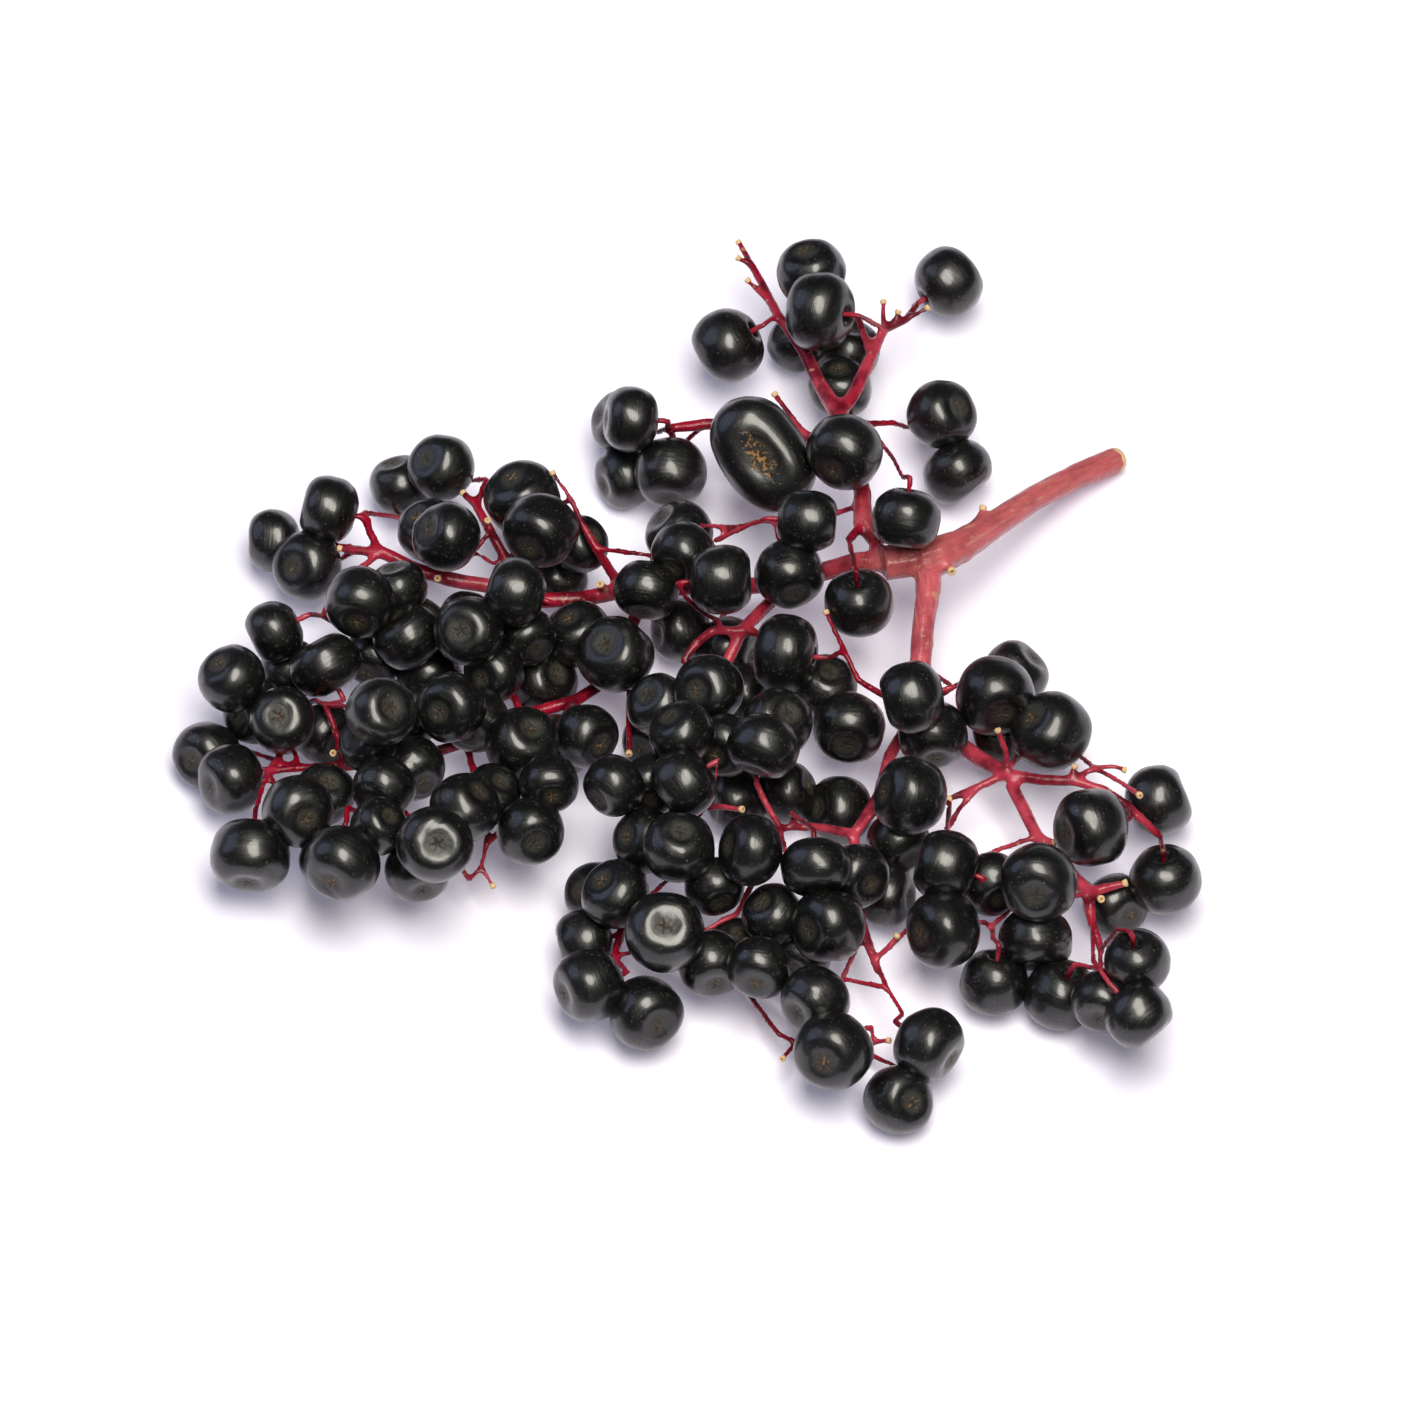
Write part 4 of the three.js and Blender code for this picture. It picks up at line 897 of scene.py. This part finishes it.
def star_scar(group, around, from_crown, ragged, grain, cloud):
    """The crown's scar: uneven rays round a small heart."""
    parts = add_node(group, "ShaderNodeSeparateXYZ", {0: around})
    turn = maths(group, "ARCTAN2", parts.outputs[1], parts.outputs[0])
    wobble = maths(group, "MULTIPLY_ADD", cloud, STAR_WOBBLE, turn)
    off_ray = maths(group, "PINGPONG", wobble, math.pi / STAR_POINTS)
    off_line = maths(group, "MULTIPLY", maths(group, "SINE", off_ray), from_crown)
    lines = ramp(group, maths(group, "MULTIPLY_ADD", grain, LINE_RAGGED, off_line), *STAR_LINE)
    reach = ramp(group, maths(group, "MULTIPLY_ADD", cloud, STAR_UNEVEN, ragged), *STAR_EDGE)
    heart = ramp(group, ragged, *HEART_EDGE)
    return maths(group, "MAXIMUM", maths(group, "MULTIPLY", lines, reach), heart)


def long_scar(group, place, arm):
    """The twin's scar: an oval in ragged blotches."""
    shares = (1 / LONG_SCAR_SIZE[0], 1 / LONG_SCAR_SIZE[1], 0)
    oval = vectors(group, "MULTIPLY", arm, shares).outputs[0]
    off_scar = vectors(group, "LENGTH", oval).outputs["Value"]
    blotches = speckle(group, place, BLOTCH_SCALE, FINE)
    broken = maths(group, "MULTIPLY_ADD", blotches, LONG_SCAR_BROKEN, off_scar)
    return ramp(group, broken, *LONG_SCAR_EDGE)


# %% [markdown]
# The skin's group puts these together: a dark body with soft clouds and faint specks, a mottled
# grey crown, and the scar on top, which is partly golden. A coat over the body gives the sharper
# part of the gloss, and the crown has little of it.

# %% Skin of the berries
TURNS_TO_HALF_TURNS = 2
GRAIN_SCALE = 2600
CLOUD_SCALE, CLOUD_EDGE = 420, (0.3, 0.7)
SPECK_SCALE, SPECK_EDGE, SPECK_SHARE = 4200, (0.68, 0.74), 0.35
SPECK_COLOR = (0.2, 0.17, 0.12, 1)
CROWN_EDGE, CROWN_RAGGED = (0.15, 0.09), 0.02
CROWN_MOTTLE = (1.6, -0.1)
SCAR_DARK = (0.014, 0.008, 0.004, 1)
GOLD_EDGE, GOLD_SHARE, SCAR_SHARE = (0.46, 0.62), 0.8, 0.85
LEAST_ROUGH, STREAKS_ROUGH, CROWN_ROUGH, SCAR_ROUGH = 0.26, 0.26, 0.16, 0.2
STREAKS_HIGH, GRAIN_HIGH, CROWN_HIGH, SCAR_HIGH = 1.3, 0.42, 1.6, -2.2
COAT_WEIGHT, CROWN_COAT = 0.5, -0.4
SKIN_BUMP = 0.035 * MM


def skin_group():
    """The skin's effect. Its input Twin is white for the berry with the long scar."""
    group, start, end = new_group("berry_skin", ["Dark", "Light", "Crown", "Scar", "Twin"],
                                  {"Color": "NodeSocketColor", "Roughness": "NodeSocketFloat",
                                   "Height": "NodeSocketFloat", "Coat": "NodeSocketFloat"})
    spot = add_node(group, "ShaderNodeUVMap", uv_map="around_crown").outputs[0]
    tone = add_node(group, "ShaderNodeAttribute", attribute_name="berry_tone").outputs["Fac"]
    place = add_node(group, "ShaderNodeTexCoord").outputs["Object"]
    twin = start.outputs["Twin"]
    arm = vectors(group, "SUBTRACT", spot, (UV_MIDDLE, UV_MIDDLE, 0)).outputs[0]
    reach = vectors(group, "LENGTH", arm).outputs["Value"]
    from_crown = maths(group, "MULTIPLY", reach, TURNS_TO_HALF_TURNS)
    around = vectors(group, "NORMALIZE", arm).outputs[0]

    streaks = fine_streaks(group, around, from_crown, tone)
    grain = speckle(group, place, GRAIN_SCALE, FINE)
    cloud = speckle(group, place, CLOUD_SCALE)
    ragged = maths(group, "MULTIPLY_ADD", grain, CROWN_RAGGED, from_crown)
    crown = ramp(group, ragged, *CROWN_EDGE)
    star = star_scar(group, around, from_crown, ragged, grain, cloud)
    gash = long_scar(group, place, arm)
    scar = add_node(group, "ShaderNodeMix", {0: twin, 2: star, 3: gash}).outputs[0]

    golden = maths(group, "MAXIMUM", maths(group, "MULTIPLY", tone, GOLD_SHARE), twin)
    gold = maths(group, "MULTIPLY", ramp(group, grain, *GOLD_EDGE), golden)
    scar_color = blend(group, gold, SCAR_DARK, start.outputs["Scar"])
    clouded = ramp(group, cloud, *CLOUD_EDGE)
    body = blend(group, clouded, start.outputs["Dark"], start.outputs["Light"])
    specks = ramp(group, speckle(group, place, SPECK_SCALE, PLAIN), *SPECK_EDGE)
    body = blend(group, maths(group, "MULTIPLY", specks, SPECK_SHARE), body, SPECK_COLOR)
    mottle = maths(group, "MULTIPLY_ADD", grain, *CROWN_MOTTLE)
    crowned = blend(group, maths(group, "MULTIPLY", crown, mottle), body, start.outputs["Crown"])
    color = blend(group, maths(group, "MULTIPLY", scar, SCAR_SHARE), crowned, scar_color)

    rough = maths(group, "MULTIPLY_ADD", streaks, STREAKS_ROUGH, LEAST_ROUGH)
    rough = maths(group, "MULTIPLY_ADD", crown, CROWN_ROUGH, rough)
    rough = maths(group, "MULTIPLY_ADD", scar, SCAR_ROUGH, rough)
    fine = maths(group, "MULTIPLY", grain, GRAIN_HIGH)
    height = maths(group, "MULTIPLY_ADD", streaks, STREAKS_HIGH, fine)
    height = maths(group, "MULTIPLY_ADD", maths(group, "MULTIPLY", crown, grain), CROWN_HIGH, height)
    height = maths(group, "MULTIPLY_ADD", scar, SCAR_HIGH, height)
    coat = maths(group, "MULTIPLY_ADD", crown, CROWN_COAT, COAT_WEIGHT)
    group.links.new(color, end.inputs["Color"])
    group.links.new(rough, end.inputs["Roughness"])
    group.links.new(height, end.inputs["Height"])
    group.links.new(coat, end.inputs["Coat"])
    return group


skin_effect = skin_group()
skin_colors = {"Dark": (0.0012, 0.0012, 0.0014, 1), "Light": (0.0034, 0.0036, 0.004, 1),
               "Crown": (0.032, 0.029, 0.02, 1), "Scar": (0.34, 0.17, 0.05, 1),
               "Twin": (0, 0, 0, 1)}
skin_settings = {"Specular IOR Level": 0.5, "Coat Roughness": 0.15}
berry_skin = new_material("berry_skin", skin_effect, skin_colors, SKIN_BUMP, skin_settings)
twin_skin = new_material("twin_skin", skin_effect, {**skin_colors, "Twin": (1, 1, 1, 1)},
                         SKIN_BUMP, skin_settings)
for made in berry_objects:
    made.data.materials.clear()
    made.data.materials.append(twin_skin if made.name.startswith("berry_twin") else berry_skin)
print("the skin's effect has", len(skin_effect.nodes), "nodes")

# %% [markdown]
# The bark goes from deep crimson on the thin stalks to a dusky pink on the main one. Grooves and
# tan flecks run lengthwise along the main stalk, so their noise is stretched that way. The rays
# have the same bark, but turned, so that its grooves run from back to front. Soft clouds of the
# Shade colour are painted shade, strongest on the thin stems, and the grooves of the stoutest
# stems are darkened with the same painted shade.

# %% Bark of the stems
GROOVE_STRETCH = (9, 1, 1)
STALK_TURN = (0, 0.32, 0.775)
RAY_TURN = (0, 0, math.radians(96))
# each noise has a scale and a detail
EVEN_NOISES = {"broad": (75, PLAIN), "cloud": (380, SOFT), "patches": (820, FINE),
               "grain": (2400, FINE)}
LONG_NOISES = {"grooves": (1900, SOFT), "flecks": (2300, PLAIN)}
THICK_EDGE, MIDDLING_EDGE = (0.55, 0.95), (0.05, 0.5)
ROSE_EDGE, ROSE_SHARE = (0.42, 0.62), 0.4
SHADE_EDGE, SHADE_SHARE, THICK_SHADE = (0.4, 0.66), 0.85, -0.62
GROOVE_EDGE, GROOVE_SHARE = (0.58, 0.36), 0.25
FLECK_EDGE, FLECK_SHARE, THICK_FLECKS = (0.64, 0.72), 0.05, 0.35
TAN_EDGE, TAN_SHARE = (0.66, 0.73), 0.55
BARK_ROUGH, BARK_GRAIN_ROUGH = 0.18, 0.25
GROOVES_HIGH, SPOTS_HIGH = 1.6, 0.6
BARK_BUMP = 0.06 * MM


def bark_group(name, along_turn):
    """The bark's effect, with its grooves along the X axis turned by those angles."""
    group, start, end = new_group(name, ["Thin", "Middling", "Thick", "Rose", "Shade", "Fleck"],
                                  {"Color": "NodeSocketColor", "Roughness": "NodeSocketFloat",
                                   "Height": "NodeSocketFloat"})
    girth = add_node(group, "ShaderNodeAttribute", attribute_name="girth").outputs["Fac"]
    place = add_node(group, "ShaderNodeTexCoord").outputs["Object"]
    along = add_node(group, "ShaderNodeMapping",
                     {"Vector": place, "Rotation": along_turn, "Scale": GROOVE_STRETCH},
                     vector_type="TEXTURE").outputs[0]
    noises = {kind: speckle(group, place, *look) for kind, look in EVEN_NOISES.items()}
    noises |= {kind: speckle(group, along, *look) for kind, look in LONG_NOISES.items()}
    thick = ramp(group, girth, *THICK_EDGE)

    base = blend(group, ramp(group, girth, *MIDDLING_EDGE), start.outputs["Thin"],
                 start.outputs["Middling"])
    base = blend(group, thick, base, start.outputs["Thick"])
    rosy = maths(group, "MULTIPLY", ramp(group, noises["broad"], *ROSE_EDGE), ROSE_SHARE)
    base = blend(group, rosy, base, start.outputs["Rose"])
    # painted shade: noise clouds of the Shade colour, strongest on the thin stems, weakest on the
    # stoutest
    strength = maths(group, "MULTIPLY_ADD", thick, THICK_SHADE, SHADE_SHARE)
    shade = maths(group, "MULTIPLY", ramp(group, noises["cloud"], *SHADE_EDGE), strength)
    base = blend(group, shade, base, start.outputs["Shade"])
    # painted shade in the grooves: on the stout stems they are darkened with the Shade colour
    lines = maths(group, "MULTIPLY", ramp(group, noises["grooves"], *GROOVE_EDGE), GROOVE_SHARE)
    base = blend(group, maths(group, "MULTIPLY", lines, thick), base, start.outputs["Shade"])
    strength = maths(group, "MULTIPLY_ADD", thick, THICK_FLECKS, FLECK_SHARE)
    flecks = maths(group, "MULTIPLY", ramp(group, noises["flecks"], *FLECK_EDGE), strength)
    tan = maths(group, "MULTIPLY", ramp(group, noises["patches"], *TAN_EDGE), TAN_SHARE)
    spots = maths(group, "MAXIMUM", flecks, tan)
    color = blend(group, spots, base, start.outputs["Fleck"])

    rough = maths(group, "MULTIPLY_ADD", noises["grain"], BARK_GRAIN_ROUGH, BARK_ROUGH)
    furrows = maths(group, "MULTIPLY", noises["grooves"], thick)
    height = maths(group, "MULTIPLY_ADD", furrows, GROOVES_HIGH, noises["grain"])
    height = maths(group, "MULTIPLY_ADD", spots, SPOTS_HIGH, height)
    group.links.new(color, end.inputs["Color"])
    group.links.new(rough, end.inputs["Roughness"])
    group.links.new(height, end.inputs["Height"])
    return group


# Shade is the dark crimson of the painted shade
bark_colors = {"Thin": (0.29, 0.002, 0.02, 1), "Middling": (0.33, 0.006, 0.028, 1),
               "Thick": (0.52, 0.115, 0.125, 1), "Rose": (0.64, 0.1, 0.15, 1),
               "Shade": (0.07, 0.001, 0.007, 1), "Fleck": (0.52, 0.3, 0.17, 1)}
for made, turn in ((main_stalk, STALK_TURN), (rays, RAY_TURN)):
    bark = new_material(made.name, bark_group(made.name, turn), bark_colors, BARK_BUMP,
                        {"Specular IOR Level": 0.35})
    made.data.materials.clear()
    made.data.materials.append(bark)
print("the bark is on", main_stalk.name, "and", rays.name)

# %% [markdown]
# The cut ends are cream wood with a brown core, which the discs' own attribute marks. They are too
# small for rings or rays of wood, so fine noise that frays the core's edge is enough.

# %% Wood of the cut ends
WOOD_SCALE = 5200
CORE_EDGE, CORE_RAGGED = (0.75, 1.05), 0.5
WOOD_SHADE_EDGE, WOOD_SHADE = (0.55, 0.7), 0.35
WOOD_ROUGH, WOOD_GRAIN_ROUGH = 0.55, 0.2
WOOD_BUMP = 0.03 * MM


def wood_group():
    """The pale wood's effect: cream round a ragged darker core."""
    group, start, end = new_group("cut_wood", ["Cream", "Core"],
                                  {"Color": "NodeSocketColor", "Roughness": "NodeSocketFloat",
                                   "Height": "NodeSocketFloat"})
    core = add_node(group, "ShaderNodeAttribute", attribute_name="core").outputs["Fac"]
    place = add_node(group, "ShaderNodeTexCoord").outputs["Object"]
    grain = speckle(group, place, WOOD_SCALE)
    ragged = maths(group, "MULTIPLY_ADD", grain, CORE_RAGGED, core)
    color = blend(group, ramp(group, ragged, *CORE_EDGE), start.outputs["Cream"],
                  start.outputs["Core"])
    shade = maths(group, "MULTIPLY", ramp(group, grain, *WOOD_SHADE_EDGE), WOOD_SHADE)
    color = blend(group, shade, color, start.outputs["Core"])
    rough = maths(group, "MULTIPLY_ADD", grain, WOOD_GRAIN_ROUGH, WOOD_ROUGH)
    group.links.new(color, end.inputs["Color"])
    group.links.new(rough, end.inputs["Roughness"])
    group.links.new(grain, end.inputs["Height"])
    return group


wood_colors = {"Cream": (0.72, 0.5, 0.27, 1), "Core": (0.3, 0.12, 0.04, 1)}
wood = new_material("cut_wood", wood_group(), wood_colors, WOOD_BUMP, {"Specular IOR Level": 0.3})
cut_ends.data.materials.clear()
cut_ends.data.materials.append(wood)
print("the wood is on", cut_ends.name)

# %% [markdown]
# The last cell measures the dressed cluster. Its box should stay close to the box of the solids,
# because the solids say how big the real thing is.

# %% Sizes
shown_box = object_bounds()
sizes = {"cad": [list(corner) for corner in cad_box], "shown": [list(corner) for corner in shown_box]}
print("CAD box", sizes["cad"], "shown box", sizes["shown"])
